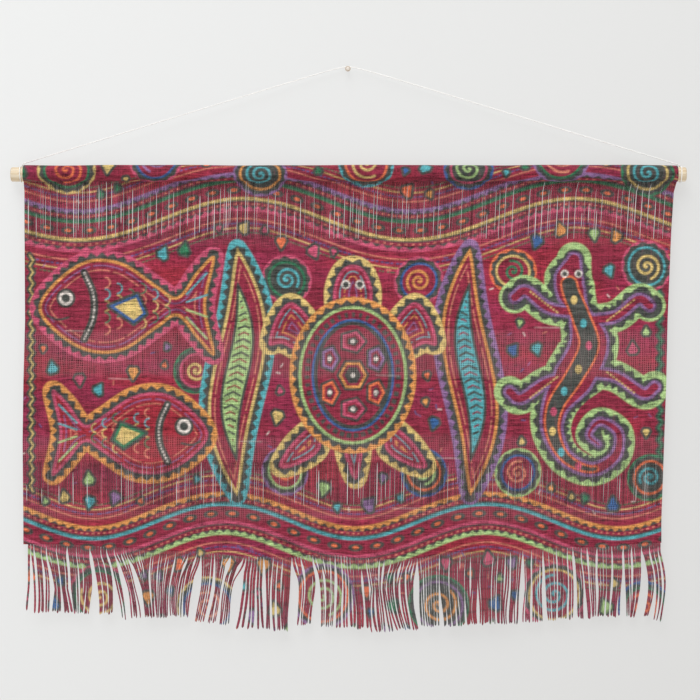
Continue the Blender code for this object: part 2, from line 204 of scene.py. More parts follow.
class Finish:
    """A material being made. node() adds any node and hands back one of its outputs as a wire."""

    def __init__(self, name, roughness, **fixed):
        self.material = bpy.data.materials.new(name)
        self.material.use_nodes = True
        self.tree = self.material.node_tree
        self.shader = self.tree.nodes["Principled BSDF"]
        self.shader.inputs["Roughness"].default_value = roughness
        for label, value in fixed.items():
            self.shader.inputs[label.replace("_", " ")].default_value = value

    def node(self, kind, values=(), output=0, stops=(), **settings):
        """Adds a node of a type: its settings and a ramp's stops first, then the values or wires it takes."""
        made = self.tree.nodes.new(kind)
        for label, value in settings.items():
            setattr(made, label, value)
        for number, (place, colour) in enumerate(stops):
            elements = made.color_ramp.elements
            stop = elements[number] if number < 2 else elements.new(place)
            stop.position = place
            stop.color = (*colour, 1.0)
        for label, value in dict(values).items():
            self.feed(made.inputs[label], value)
        return Wire(self, made.outputs[output])

    def feed(self, socket, value):
        """Joins a wire to a socket, or sets the socket to a number, a vector or a colour of three parts."""
        if isinstance(value, Wire):
            self.tree.links.new(value.socket, socket)
        elif hasattr(value, "__len__") and len(value) == 3 and socket.type == "RGBA":
            socket.default_value = (*value, 1.0)
        else:
            socket.default_value = value

    def place(self):
        """Where a point of the piece is, in metres."""
        return self.node("ShaderNodeTexCoord", output="Object")

    def along(self, axis):
        """How far along X, Y or Z a point of the piece is, in metres."""
        return self.node("ShaderNodeSeparateXYZ", {0: self.place()}, output=axis)

    def stretched(self, by, vector=None):
        """The place, or another vector, times a size along each axis or one size along all three."""
        by = tuple(np.broadcast_to(by, 3))
        return self.node("ShaderNodeVectorMath", {0: vector or self.place(), 1: by}, operation="MULTIPLY")

    def length(self, vector):
        """How long a vector is."""
        return self.node("ShaderNodeVectorMath", {0: vector}, output="Value", operation="LENGTH")

    def mark(self, name):
        """The number kept under a name on every point of the mesh."""
        return self.node("ShaderNodeAttribute", output="Fac", attribute_name=name)

    def noise(self, by, detail=2.0, rough=0.55):
        """Smooth noise from 0 to 1, with so many lumps a metre along each axis."""
        values = {"Vector": self.stretched(by), "Scale": 1.0, "Detail": detail, "Roughness": rough}
        return self.node("ShaderNodeTexNoise", values)

    def mixed(self, share, one, other, blend="MIX"):
        """One colour changed into another by a share."""
        values = {0: share, 6: one, 7: other}
        return self.node("ShaderNodeMix", values, output=2, data_type="RGBA", blend_type=blend)

    def printed(self, tone):
        """The print, kept as a colour on every point of the mesh, made lighter or darker by a tone."""
        colour = self.node("ShaderNodeVertexColor", output="Color", layer_name="print")
        grey = self.node("ShaderNodeCombineColor", {0: tone, 1: tone, 2: tone})
        return self.mixed(1.0, colour, grey, blend="MULTIPLY")

    def bump(self, height, depth, strength):
        """A normal from a height whose full range is depth millimetres."""
        return self.node("ShaderNodeBump", {"Strength": strength, "Distance": depth * MM, "Height": height})

    def done(self, **wires):
        """Joins wires to the shader's sockets of those names, and hands back the material."""
        for label, wire in wires.items():
            self.feed(self.shader.inputs[label.replace("_", " ")], wire)
        return self.material


def dye(red, green, blue):
    """A colour given from 0 to 255 as a screen shows it, made linear by the 2.4 power of the sRGB curve."""
    share = np.array((red, green, blue)) / 255.0
    return np.where(share <= 0.04045, share / 12.92, ((share + 0.055) / 1.055) ** 2.4)


def make_string():
    """Off-white cotton: the grooves between the plies are a little darker as painted shade, with fine fibre
    on the plies. The string is thin enough for light to pass a little way through it."""
    through = {"Subsurface_Weight": 0.5, "Subsurface_Scale": 0.0012, "Subsurface_Radius": (1.0, 1.0, 1.0)}
    finish = Finish("cotton string", 0.86, Sheen_Weight=0.35, **through)
    ply = finish.mark("ply")
    fuzz = finish.noise(900.0, 4.0)
    # painted shade in the grooves between the plies, lighter on the ply crests
    light = finish.mixed(ply.between(0.1, 0.8), dye(238, 235, 229), dye(254, 253, 250))
    colour = finish.mixed(fuzz * 0.25, light, dye(240, 236, 228))
    fibre = finish.noise(2600.0, 3.0)
    return finish.done(Base_Color=colour, Normal=finish.bump(fibre, 0.12, 0.7))


def leg_stops(foot, rest):
    """x from the nail to the foot of a leg, in steps that are closest at the nail where it bends, and then
    to its place on the rod."""
    share = np.linspace(0.0, 1.0, CORD_LEG_POINTS) ** CORD_LEG_BUNCHING
    return np.concatenate((foot[0] * share, (rest,)))


left_stops = leg_stops(CORD_FOOT_LEFT, CORD_REST_LEFT)[::-1]
right_stops = leg_stops(CORD_FOOT_RIGHT, CORD_REST_RIGHT)[1:]
cord_points = np.vstack(
    (
        rod_turn(LOOP_LEFT, -1.0)[::-1],
        (LOOP_LEFT + CORD_TURN_IN, ROD_Y, -CORD_TURN_DEPTH),
        cord_leg(left_stops, CORD_FOOT_LEFT),
        cord_leg(right_stops, CORD_FOOT_RIGHT),
        (LOOP_RIGHT - CORD_TURN_IN, ROD_Y, -CORD_TURN_DEPTH),
        rod_turn(LOOP_RIGHT, 1.0),
    )
)
cord_line = even_path(cord_points, CORD_RING_STEP)
for _ in range(CORD_EASING):
    cord_line[1:-1] = 0.25 * cord_line[:-2] + 0.5 * cord_line[1:-1] + 0.25 * cord_line[2:]


def around(sides):
    """Angles at even steps round a full turn."""
    return TURN * np.arange(sides) / sides


def string_tube(line):
    """The string's surface: rings square to the line, whose radius dips in two grooves that turn with the
    distance walked. A ring's first axis is the wall's normal on the legs and the rod's axis on the turns."""
    ahead = np.gradient(line, axis=0)
    ahead /= np.linalg.norm(ahead, axis=1)[:, None]
    below = -line[:, 2] - CORD_TURN_DEPTH
    on_turn = np.clip((below + CORD_TURN_EASE) / CORD_TURN_EASE, 0.0, 1.0)[:, None]
    first = np.array((0.0, 1.0, 0.0)) * (1 - on_turn) + np.array((1.0, 0.0, 0.0)) * on_turn
    first = first - ahead * (first * ahead).sum(1)[:, None]
    first /= np.linalg.norm(first, axis=1)[:, None]
    second = np.cross(ahead, first)
    walked = walked_along(line)
    angle = around(CORD_SIDES)[None, :]
    lobe = np.abs(np.cos(angle - TURN * walked[:, None] / CORD_PLY_PITCH))
    radius = CORD_RADIUS * (1.0 - CORD_GROOVE + CORD_GROOVE * lobe)
    rings = line[:, None] + radius[..., None] * (
        np.cos(angle)[..., None] * first[:, None] + np.sin(angle)[..., None] * second[:, None]
    )
    return rings, lobe, walked[-1]


rings, lobe, cord_length = string_tube(cord_line)
cap_start = np.repeat(cord_line[:1], CORD_SIDES, axis=0)[None]
cap_end = np.repeat(cord_line[-1:], CORD_SIDES, axis=0)[None]
rings = np.concatenate((cap_start, rings, cap_end))
lobe = np.concatenate((lobe[:1], lobe, lobe[-1:]))
string = add_piece(
    "hanging_string",
    rings.reshape(-1, 3),
    grid_faces(len(rings), CORD_SIDES, closed=True)[:, ::-1],
    make_string(),
    marks={"ply": lobe.ravel()},
)
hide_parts("cord")
tuple(cord_line[0] * MM)
cord_length * MM
(cord_line[::4] * MM).tolist()

# The nail is a plain round-headed pin, painted beige, driven straight into the wall. Its head has a rounded
# rim and a slightly domed middle that is coloured lighter.
NAIL_SHANK = 1.5
NAIL_REACH = 6.6
NAIL_HEAD = 3.4
NAIL_SIDES = 40


def turned(profile, sides, axis):
    """A solid of revolution round X or Y: rows of (along, radius) carried round a full turn."""
    profile = np.array(profile, dtype=float)
    angle = around(sides)
    along = np.repeat(profile[:, :1], sides, axis=1)
    across = profile[:, 1:] * np.cos(angle)
    up = profile[:, 1:] * np.sin(angle)
    return np.stack((along, across, up) if axis == "x" else (across, -along, up), axis=-1)


def dome(along, radius, rise, steps=6):
    """Rows of a low dome from its rim to its middle: the radius falls as a cosine while the height rises as a
    sine."""
    angle = np.linspace(0.0, 0.5 * math.pi, steps + 1)
    rows = [(along + rise * math.sin(a), radius * math.cos(a)) for a in angle[:-1]]
    return [*rows, (along + rise, 0.001)]


def make_nail_paint():
    """Beige satin paint, lighter toward the head's middle, and darker in the groove by its rim as painted
    shade.
    """
    finish = Finish("nail paint", 0.38, Coat_Weight=0.15)
    away = finish.length(finish.stretched((1.0, 0.0, 1.0))) * (1.0 / (NAIL_HEAD * MM))
    tone = finish.node(
        "ShaderNodeValToRGB",
        {"Fac": away},
        stops=(
            (0.0, dye(238, 230, 220)),
            (0.55, dye(230, 220, 208)),
            # the darkest stop, at the groove by the rim, is painted shade
            (0.74, dye(196, 180, 164)),
            (1.0, dye(214, 200, 184)),
        ),
    )
    scuff = finish.noise(1400.0, 4.0)
    colour = finish.mixed(scuff.between(0.56, 0.72) * 0.5, tone, dye(176, 160, 146))
    return finish.done(Base_Color=colour, Roughness=scuff * 0.2 + 0.3, Normal=finish.bump(scuff, 0.04, 0.5))


nail_profile = [
    # how far from the wall, radius
    (0.0, 0.001),
    (0.0, NAIL_SHANK),
    (NAIL_REACH - 0.5, NAIL_SHANK),
    (NAIL_REACH, NAIL_SHANK + 0.35),
    (NAIL_REACH, NAIL_HEAD - 0.2),
    (NAIL_REACH + 0.1, NAIL_HEAD),
    (NAIL_REACH + 0.5, NAIL_HEAD),
    (NAIL_REACH + 0.85, NAIL_HEAD - 0.2),
    (NAIL_REACH + 0.95, NAIL_HEAD - 0.5),
    (NAIL_REACH + 0.8, NAIL_HEAD - 0.8),
    *dome(NAIL_REACH + 0.8, NAIL_HEAD - 0.9, 0.9),
]
nail_rings = turned(nail_profile, NAIL_SIDES, "y")
nail = add_piece(
    "nail_head_and_shank",
    nail_rings.reshape(-1, 3),
    grid_faces(len(nail_profile), NAIL_SIDES, closed=True),
    make_nail_paint(),
)
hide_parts("nail")

# The rod is a turned length of pale softwood, cut square with a small chamfer at each end and left bare. The
# cloth's pocket covers all of it but the ends.
ROD_LEFT = -408.0
ROD_RIGHT = 409.8
ROD_CHAMFER = 1.2
ROD_WORN = 0.05
ROD_SIDES = 64
ROD_RINGS = 90
ROD_EASE = 10.0
HEART_OUT = 4.0
HEART_DOWN = 3.0


def make_wood():
    """Bare pale wood: long grain drawn out along the rod, a few darker lines and pores, and on the two sawn
    ends rings of growth round a heart that lies off the middle."""
    finish = Finish("bare wood", 0.6)
    grain = finish.noise((9.0, 420.0, 420.0), 4.0, 0.6)
    line = finish.noise((4.0, 1300.0, 1300.0), 2.0)
    pore = finish.noise((60.0, 2600.0, 2600.0), 2.0)
    long = finish.mixed(grain.between(0.36, 0.66), dye(240, 226, 200), dye(218, 192, 152))
    long = finish.mixed(line.between(0.55, 0.75) * 0.5, long, dye(178, 140, 98))
    long = finish.mixed(pore.between(0.62, 0.72) * 0.35, long, dye(150, 112, 76))
    to_heart = (0.0, (HEART_OUT - ROD_Y) * MM, (ROD_DEPTH + HEART_DOWN) * MM)
    from_heart = finish.node("ShaderNodeVectorMath", {0: finish.place(), 1: to_heart}, operation="ADD")
    away = finish.length(finish.stretched((0.0, 1.0, 1.0), from_heart))
    rings_of_growth = (away * 5200.0 + finish.noise(300.0) * 3.0).wave() * 0.5 + 0.5
    end_tone = finish.mixed(rings_of_growth * 0.8, dye(226, 200, 160), dye(184, 146, 104))
    side = finish.along("X")
    from_middle = side.maths("ABSOLUTE", side - 0.5 * (ROD_LEFT + ROD_RIGHT) * MM)
    end_at = 0.5 * (ROD_RIGHT - ROD_LEFT) * MM
    on_end = from_middle.between(end_at - 0.0004, end_at - 0.0002)
    colour = finish.mixed(on_end, long, end_tone)
    rough = grain * 0.2 + 0.5
    return finish.done(Base_Color=colour, Roughness=rough, Normal=finish.bump(grain + pore, 0.12, 0.6))


def rod_profile():
    """Rows of x and radius from the middle of the left end to that of the right: sawn end, chamfer, and a
    length whose radius wanders by a few hundredths of a millimetre."""
    x = np.linspace(ROD_LEFT + ROD_CHAMFER, ROD_RIGHT - ROD_CHAMFER, ROD_RINGS)
    wander = 0.04 * np.sin(x / 31.0) + 0.03 * np.sin(x / 12.7 + 1.0)
    ease = np.minimum(1.0, np.minimum(x - x[0], x[-1] - x) / ROD_EASE)
    body = np.stack((x, ROD_RADIUS + wander * ease), axis=1)
    end_radii = np.array((0.001, 0.3, 0.6, 0.9, 1.0)) * (ROD_RADIUS - ROD_CHAMFER)
    left = np.stack((np.full(5, ROD_LEFT), end_radii), axis=1)
    right = np.stack((np.full(5, ROD_RIGHT), end_radii[::-1]), axis=1)
    worn = ROD_RADIUS - 0.5 * ROD_CHAMFER - ROD_WORN
    return np.vstack((left, (ROD_LEFT + 0.5, worn), body, (ROD_RIGHT - 0.5, worn), right))


rod_rows = rod_profile()
rod_rings = turned(rod_rows, ROD_SIDES, "x") + np.array((0.0, ROD_Y, -ROD_DEPTH))
rod = add_piece(
    "turned_rod",
    rod_rings.reshape(-1, 3),
    grid_faces(len(rod_rows), ROD_SIDES, closed=True)[:, ::-1],
    make_wood(),
)
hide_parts("rod")

# The design dyed through the cloth is painted here once on a flat canvas, and read later at each point of
# the cloth and fringe. It is a generic one after the manner of cut and stitched applique: two fish, a turtle
# and a lizard between leaves and waves, in crimson with bright outlines and dark toothed borders.
PRINT_STEP = 0.6
PRINT_LEFT = -402.0
PRINT_RIGHT = 410.0
PRINT_TOP = 68.0
PRINT_LOW = 692.0
FAR = 999.0
WHIP = (3.3, 0.3)
WHIP_SHADE = 0.5
TOOTH_PITCH = 12.2
ECHO_FIRST = 4.6
ECHO_PITCH = 5.6
ECHO_HALF = 0.75
ECHO_STITCH = (46.0, 0.9)
ECHO_SHIFT = 17.0
SOFTER = 0.85

CRIMSON = dye(141, 46, 66)
RED = dye(163, 48, 61)
MAGENTA = dye(142, 48, 87)
DARK = dye(74, 77, 73)
PINK = dye(194, 84, 112)
LILAC = dye(140, 106, 150)
YELLOW = dye(211, 184, 116)
AMBER = dye(215, 148, 84)
BLUE = dye(58, 98, 150)
GREEN = dye(54, 122, 88)
LIME = dye(164, 194, 130)
TURQUOISE = dye(86, 166, 174)
ORANGE = dye(222, 114, 76)
SALMON = dye(212, 134, 110)
WHITE = dye(218, 208, 200)

print_x = np.arange(PRINT_LEFT, PRINT_RIGHT, PRINT_STEP)
print_depth = np.arange(PRINT_TOP, PRINT_LOW, PRINT_STEP)
canvas = np.zeros((len(print_depth), len(print_x), 3)) + CRIMSON
busy = np.zeros(canvas.shape[:2], bool)


def between_cells(grid, row, column, fall, run):
    """Values read between the cells of a grid: row and column name the first of four neighbours, and fall and
    run say how far down and across from it, as parts of a cell."""
    upper = grid[row, column] * (1 - run) + grid[row, column + 1] * run
    lower = grid[row + 1, column] * (1 - run) + grid[row + 1, column + 1] * run
    return upper * (1 - fall) + lower * fall


def cloud(rows, columns, seed):
    """Smooth noise over the whole canvas: random numbers on a coarse grid of rows by columns, read between by
    cosine steps, from 0 to 1."""
    grid = np.random.default_rng(seed).random((rows + 2, columns + 2))
    down = np.linspace(0, rows, len(print_depth))[:, None]
    over = np.linspace(0, columns, len(print_x))[None, :]
    row = down.astype(int)
    column = over.astype(int)
    fall = 0.5 - 0.5 * np.cos(np.pi * (down - row))
    run = 0.5 - 0.5 * np.cos(np.pi * (over - column))
    return between_cells(grid, row, column, fall, run)


def smooth(points, closed=False, parts=8):
    """A curve through the points: on each span, the Catmull-Rom cubic of the four points round it."""
    points = np.array(points, float)
    if closed:
        points = np.vstack((points[-1], points, points[:2]))
    else:
        points = np.vstack((2 * points[0] - points[1], points, 2 * points[-1] - points[-2]))
    share = (np.arange(parts) / parts)[None, :, None]
    a, b, c, d = (points[k : len(points) - 3 + k][:, None, :] for k in range(4))
    bend = (2 * a - 5 * b + 4 * c - d) * share**2 + (3 * b - a - 3 * c + d) * share**3
    spans = (0.5 * (2 * b + (c - a) * share + bend)).reshape(-1, 2)
    return spans if closed else np.vstack((spans, points[-2]))


class Trace:
    """Distances to a drawn line, over the part of the canvas that the line reaches: away is the distance to
    the nearest of its segments, along the length from its start to there, and side the side it lies on.
    Inside a closed line away is negative."""

    def __init__(self, points, reach, closed=False):
        points = np.array(points, float)
        if closed:
            points = np.vstack((points, points[0]))
        self.points = points
        low = points.min(0) - reach
        high = points.max(0) + reach
        self.columns = slice(*np.searchsorted(print_x, (low[0], high[0])))
        self.rows = slice(*np.searchsorted(print_depth, (low[1], high[1])))
        self.x = print_x[self.columns][None, :]
        self.depth = print_depth[self.rows][:, None]
        self.clear((self.depth.shape[0], self.x.shape[1]))
        steps = np.diff(points, axis=0)
        lengths = np.hypot(*steps.T)
        starts = np.concatenate(((0.0,), np.cumsum(lengths)))
        self.length = starts[-1]
        for start, step, length, run in zip(points, steps, lengths, starts):
            if length == 0.0:
                continue
            near = np.minimum(start, start + step) - reach
            far = np.maximum(start, start + step) + reach
            over = slice(*np.searchsorted(self.x[0], (near[0], far[0])))
            down = slice(*np.searchsorted(self.depth[:, 0], (near[1], far[1])))
            x = self.x[:, over] - start[0]
            depth = self.depth[down] - start[1]
            share = np.clip((x * step[0] + depth * step[1]) / length**2, 0.0, 1.0)
            away = np.hypot(x - share * step[0], depth - share * step[1])
            closer = away < self.away[down, over]
            self.away[down, over] = np.where(closer, away, self.away[down, over])
            self.along[down, over] = np.where(closer, run + share * length, self.along[down, over])
            turn = np.where(step[0] * depth - step[1] * x > 0, 1.0, -1.0)
            self.side[down, over] = np.where(closer, turn, self.side[down, over])
        if closed:
            self.turn_inside()

    def clear(self, shape):
        """Sets every distance to one that nothing reaches."""
        self.away = np.full(shape, FAR)
        self.along = np.zeros(shape)
        self.side = np.ones(shape)

    def turn_inside(self):
        """Makes away negative inside the closed line, where the number of edges to the right is odd."""
        odd = np.zeros(self.away.shape, bool)
        for (x0, d0), (x1, d1) in zip(self.points, self.points[1:]):
            if d0 == d1:
                continue
            spans = (self.depth > min(d0, d1)) & (self.depth <= max(d0, d1))
            odd ^= spans & (self.x < x0 + (self.depth - d0) * (x1 - x0) / (d1 - d0))
        self.away = np.where(odd, -self.away, self.away)


def inside(distance):
    """How much of a canvas cell lies inside an edge: all of it half a cell in, none half a cell out."""
    return np.clip(0.5 - distance / PRINT_STEP, 0.0, 1.0)


def paint(trace, cover, colour, strength=1.0):
    """Lays a colour on the canvas under a trace, as thick as cover says."""
    part = canvas[trace.rows, trace.columns]
    part += (cover * strength)[..., None] * (colour - part)


def take(trace, reach):
    """Marks the place of a figure as taken, that far beyond its edge."""
    busy[trace.rows, trace.columns] |= trace.away < reach


def lay(trace, *layers):
    """Lays colours on a shape from outside to inside: each is how far beyond its edge it reaches, and its
    colour."""
    for reach, colour in layers:
        paint(trace, inside(trace.away - reach), colour)


def toothed(trace, reach, saw):
    """Lays a dark border cut into teeth: it reaches that far at a tooth's tip, and less by the depth of the
    saw at its foot."""
    tooth = 1.0 - 2.0 * np.abs(trace.along / TOOTH_PITCH % 1.0 - 0.5)
    paint(trace, inside(trace.away - reach + saw * (1.0 - tooth)), DARK)


def stroke(trace, at, half, colour, strength=1.0, pitch=0.0, share=0.66, shift=0.0):
    """Lays a line of a half width that keeps its distance from the traced one. With a pitch it is broken into
    stitches, each of which takes its share of the pitch."""
    cover = inside(np.abs(trace.away - at) - half)
    if pitch:
        cover = cover * ((trace.along + shift) / pitch % 1.0 < share)
    paint(trace, cover, colour, strength)


def merge(traces):
    """One trace over the whole canvas that holds, at each place, the nearest of several and its number."""
    whole = Trace(((PRINT_LEFT, PRINT_TOP), (PRINT_RIGHT, PRINT_LOW)), 0.0)
    whole.rows = slice(0, len(print_depth))
    whole.columns = slice(0, len(print_x))
    whole.clear(busy.shape)
    whole.number = np.zeros(busy.shape, int)
    for number, trace in enumerate(traces):
        view = (trace.rows, trace.columns)
        closer = trace.away < whole.away[view]
        whole.number[view][closer] = number
        whole.along[view][closer] = trace.along[closer]
        whole.side[view][closer] = trace.side[closer]
        whole.away[view] = np.minimum(whole.away[view], trace.away)
    return whole


def applique(trace, outline, strip, fill, wide=3.6, dark=8.4, saw=5.4, echoes=()):
    """A cut-cloth figure from outside to inside: a bright strip, a dark border cut into teeth along it, a
    stitched outline, the fill, and embroidered lines that follow the outline inside."""
    lay(trace, (dark + 0.5 * saw, strip))
    toothed(trace, dark, saw)
    lay(trace, (0.0, outline))
    stroke(trace, -0.25 * wide, 0.3 * wide, outline * WHIP_SHADE, 1.0, *WHIP)
    lay(trace, (-wide, fill))
    for number, colour in enumerate(echoes):
        middle = wide + ECHO_FIRST + ECHO_PITCH * number
        stroke(trace, -middle, ECHO_HALF, colour, SOFTER, *ECHO_STITCH, ECHO_SHIFT * number)
    take(trace, dark + saw)


def thread(points, colour, wide=1.5, pitch=0.0, strength=0.92):
    """An embroidered line through points, which may be broken into stitches of a given pitch."""
    stroke(Trace(points, 2.0 * wide), 0.0, 0.5 * wide, colour, strength, pitch)


def patch(points, *layers, clear=None):
    """A small closed shape in layers, which may keep the ground round it clear."""
    trace = Trace(points, 8.0, closed=True)
    lay(trace, *layers)
    if clear is not None:
        take(trace, clear)


def ring(x, depth, wide, tall, turn=0.0, points=36):
    """Points round an ellipse with half axes wide and tall, turned. With few points it is a polygon."""
    angle = np.linspace(0.0, TURN, points, endpoint=False)
    a = wide * np.cos(angle)
    b = tall * np.sin(angle)
    over = x + a * math.cos(turn) - b * math.sin(turn)
    down = depth + a * math.sin(turn) + b * math.cos(turn)
    return np.stack((over, down), 1)


def spiral(x, depth, size, turns, start, hand):
    """A spiral whose radius grows evenly with its angle."""
    angle = np.linspace(0.3, TURN * turns, int(26 * turns))
    radius = size * angle / angle[-1]
    heading = start + hand * angle
    return np.stack((x + radius * np.cos(heading), depth + radius * np.sin(heading)), 1)


def wave(depth, swing, length, phase):
    """A sine wave across the whole cloth."""
    x = np.linspace(PRINT_LEFT, PRINT_RIGHT, 110)
    return np.stack((x, depth + swing * np.sin(TURN * x / length + phase)), 1)


# patches of redder and of bluer yarn, and the whole ground a little uneven
canvas += (0.75 * np.clip(2.4 * cloud(22, 9, 3) - 1.15, 0.0, 1.0))[..., None] * (RED - canvas)
canvas += (0.4 * np.clip(2.4 * cloud(34, 12, 8) - 1.1, 0.0, 1.0))[..., None] * (MAGENTA - canvas)
canvas *= (0.85 + 0.30 * cloud(30, 16, 5))[..., None]

# two broad waves above and below the animals, each with its own colours above and below its middle
WAVES = (
    # depth, swing, length, phase, outline above and below, strip above and below
    (172, 25, 402, 0.4, GREEN, YELLOW, LILAC, PINK),
    (560, 21, 318, 1.4, TURQUOISE, PINK, AMBER, LIME),
)
WAVE_LINES = (
    # how far from the middle, pitch of its stitches, colour
    (35, 0, SALMON), (40.5, 5, BLUE), (46, 0, YELLOW), (51.5, 4, GREEN),
)
channel = merge([Trace(wave(*row[:4]), 64.0) for row in WAVES])


def wave_colour(above, below):
    """Each wave's own colour over the canvas, taken from two columns of the table by the side it lies on."""
    upper = np.array([row[above] for row in WAVES])[channel.number]
    lower = np.array([row[below] for row in WAVES])[channel.number]
    return np.where((channel.side < 0)[..., None], upper, lower)


for middle, pitch, colour in WAVE_LINES:
    stroke(channel, middle, 0.8, colour, SOFTER, pitch, 0.7)
lay(channel, (26.0, wave_colour(6, 7)))
toothed(channel, 23.4, 4.0)
lay(channel, (19.4, CRIMSON))
stroke(channel, 17.0, 0.7, SALMON, 1.0, 8.0, 0.42)
lay(channel, (14.6, DARK), (12.6, wave_colour(4, 5)))
stroke(channel, 11.8, 1.3, wave_colour(4, 5) * WHIP_SHADE, 1.0, *WHIP)
lay(channel, (8.8, CRIMSON))
bead = np.hypot((channel.along % 26.0 - 13.0) / 9.0, channel.away / 4.6)
paint(channel, inside(6.0 * (bead - 1.0)), DARK)
paint(channel, inside(6.0 * (bead - 0.45)), ORANGE)
busy |= channel.away < 33.0

# upright zigzags beside the edges
for x, colour in ((-386.0, YELLOW), (376.0, GREEN)):
    down = np.arange(226.0, 520.0, 7.0)
    zigzag = np.stack((x + 4.6 * (np.arange(len(down)) % 2), down), 1)
    thread(zigzag, DARK, 7.5, strength=1.0)
    thread(zigzag, colour, 1.9)
    take(Trace(zigzag, 8.0), 5.0)

# rolled tendrils, each on a dark or a crimson disc of its own
TENDRILS = (
    # x, depth, size, turns, start, hand, spiral, outline, strip, ground
    (-340, 118, 20, 2.2, 0.5, 1, ORANGE, GREEN, YELLOW, CRIMSON),
    (-232, 104, 18, 2, 2, -1, LILAC, BLUE, PINK, CRIMSON),
    (-106, 124, 17, 2.1, 3.4, 1, TURQUOISE, AMBER, LILAC, DARK),
    (22, 110, 19, 2, 1, -1, YELLOW, ORANGE, TURQUOISE, CRIMSON),
    (146, 116, 16, 1.9, 5, 1, LIME, PINK, BLUE, DARK),
    (258, 102, 20, 2.2, 2.4, -1, SALMON, GREEN, LILAC, CRIMSON),
    (362, 122, 18, 2, 4.2, 1, TURQUOISE, YELLOW, GREEN, DARK),
    (-184, 366, 13, 1.9, 5.2, -1, YELLOW, PINK, GREEN, CRIMSON),
    (-74, 256, 15, 2, 0.6, 1, TURQUOISE, GREEN, PINK, DARK),
    (86, 258, 15, 2, 2.4, -1, AMBER, BLUE, PINK, CRIMSON),
    (-76, 488, 14, 2, 4.4, -1, ORANGE, LIME, LILAC, CRIMSON),
    (92, 490, 14, 2, 1.4, 1, LIME, ORANGE, BLUE, DARK),
    (362, 240, 16, 2, 1.2, 1, YELLOW, TURQUOISE, PINK, DARK),
    (200, 246, 13, 1.8, 3.2, -1, GREEN, YELLOW, ORANGE, CRIMSON),
    (206, 490, 14, 2, 5, 1, SALMON, BLUE, LIME, CRIMSON),
    (366, 496, 13, 1.9, 2, -1, TURQUOISE, ORANGE, GREEN, DARK),
    (-300, 640, 24, 2.4, 1, 1, YELLOW, GREEN, PINK, CRIMSON),
    (-170, 652, 22, 2.2, 3, -1, SALMON, BLUE, YELLOW, CRIMSON),
    (-30, 640, 24, 2.4, 5, 1, LIME, ORANGE, LILAC, CRIMSON),
    (110, 650, 22, 2.2, 0.4, -1, AMBER, LILAC, GREEN, DARK),
    (250, 638, 24, 2.4, 2.2, 1, TURQUOISE, YELLOW, PINK, CRIMSON),
    (360, 654, 18, 2, 4, -1, ORANGE, GREEN, BLUE, CRIMSON),
)
for x, depth, size, turns, start, hand, colour, outline, strip, ground in TENDRILS:
    disc = Trace(ring(x, depth, size + 8.5, size + 7.0, start), 16.0, closed=True)
    applique(disc, outline, strip, ground, wide=2.8, dark=6.0, saw=2.6)
    lay(Trace(spiral(x, depth, size, turns, start, hand), 6.0), (1.5, colour))

# tall leaves between the animals
LEAVES = (
    # middle x, top and foot, half width, bend, outline, strip and core
    (-134, 218, 518, 30, 10, YELLOW, TURQUOISE, LIME),
    (148, 218, 518, 29, -10, AMBER, LILAC, TURQUOISE),
)


def leaf(x, top, foot, half, bend):
    """The edge and the rib of a pointed leaf: its half width swells as a power of the sine of the height, and
    its rib bends by one whole wave."""
    share = np.linspace(0.0, 1.0, 34)
    rib = x + bend * np.sin(TURN * share)
    swell = half * np.sin(math.pi * share) ** 0.8
    depth = top + (foot - top) * share
    left = np.stack((rib - swell, depth), 1)
    right = np.stack((rib + swell, depth), 1)[1:-1]
    return np.vstack((left, right[::-1])), np.stack((rib, depth), 1)


for x, top, foot, half, bend, outline, strip, colour in LEAVES:
    edge, rib = leaf(x, top, foot, half, bend)
    applique(Trace(edge, 34.0, closed=True), outline, strip, CRIMSON, echoes=(SALMON,))
    core = Trace(leaf(x, top + 40.0, foot - 40.0, half - 14.5, bend * 0.8)[0], 20.0, closed=True)
    lay(core, (0.0, DARK), (-3.2, colour))
    rib_x = np.interp(core.depth, rib[:, 1], rib[:, 0])
    chevron = np.abs((core.depth - 0.5 * np.abs(core.x - rib_x)) % 16.0 - 8.0)
    paint(core, inside(core.away + 4.4) * inside(chevron - 1.5), DARK)
    paint(core, inside(core.away + 6.2) * inside(np.abs(chevron - 8.0) - 1.1), CRIMSON)

# the turtle in the middle
TURTLE_X, TURTLE_DEPTH = 6.0, 372.0
LIMBS = (
    # the corners of a front and of a back limb of the right side, from the turtle's middle
    ((44, -52), (72, -88), (92, -72), (102, -38), (86, -38), (64, -30)),
    ((44, 60), (72, 80), (90, 110), (70, 110), (40, 90)),
)
HEAD = ((-17, -74), (-24, -100), (-15, -126), (0, -134), (15, -126), (24, -100), (17, -74))
TAIL = ((-11, 84), (-3, 118), (6, 124), (11, 84))
EYES_OUT = 8.5


def on_turtle(corners, hand=1.0):
    """A rounded shape through corners given from the turtle's middle, or its mirror image."""
    return smooth([(TURTLE_X + hand * x, TURTLE_DEPTH + depth) for x, depth in corners], True)


parts = [on_turtle(limb, hand) for hand in (-1.0, 1.0) for limb in LIMBS]
parts += [on_turtle(HEAD), on_turtle(TAIL)]
limbs = merge([Trace(part, 26.0, closed=True) for part in parts])
applique(limbs, PINK, YELLOW, CRIMSON, echoes=(TURQUOISE, AMBER, LILAC))
shell = Trace(ring(TURTLE_X, TURTLE_DEPTH, 66.0, 84.0), 34.0, closed=True)
applique(shell, LIME, AMBER, CRIMSON)
stroke(shell, -10.5, 3.0, DARK, 1.0, 11.0, 0.55)
lay(shell, (-15.5, BLUE), (-18.5, DARK), (-23.0, CRIMSON))
PLATES = (
    # x and depth of a plate of the shell from its middle, half width, half height, sides, colour
    (0, 0, 17, 18, 6, AMBER), (0, -41, 15, 13, 5, PINK), (0, 41, 15, 13, 5, PINK),
    (-28, -20, 11, 15, 5, LILAC), (28, -20, 11, 15, 5, LILAC),
    (-28, 21, 11, 15, 5, ORANGE), (28, 21, 11, 15, 5, ORANGE),
)
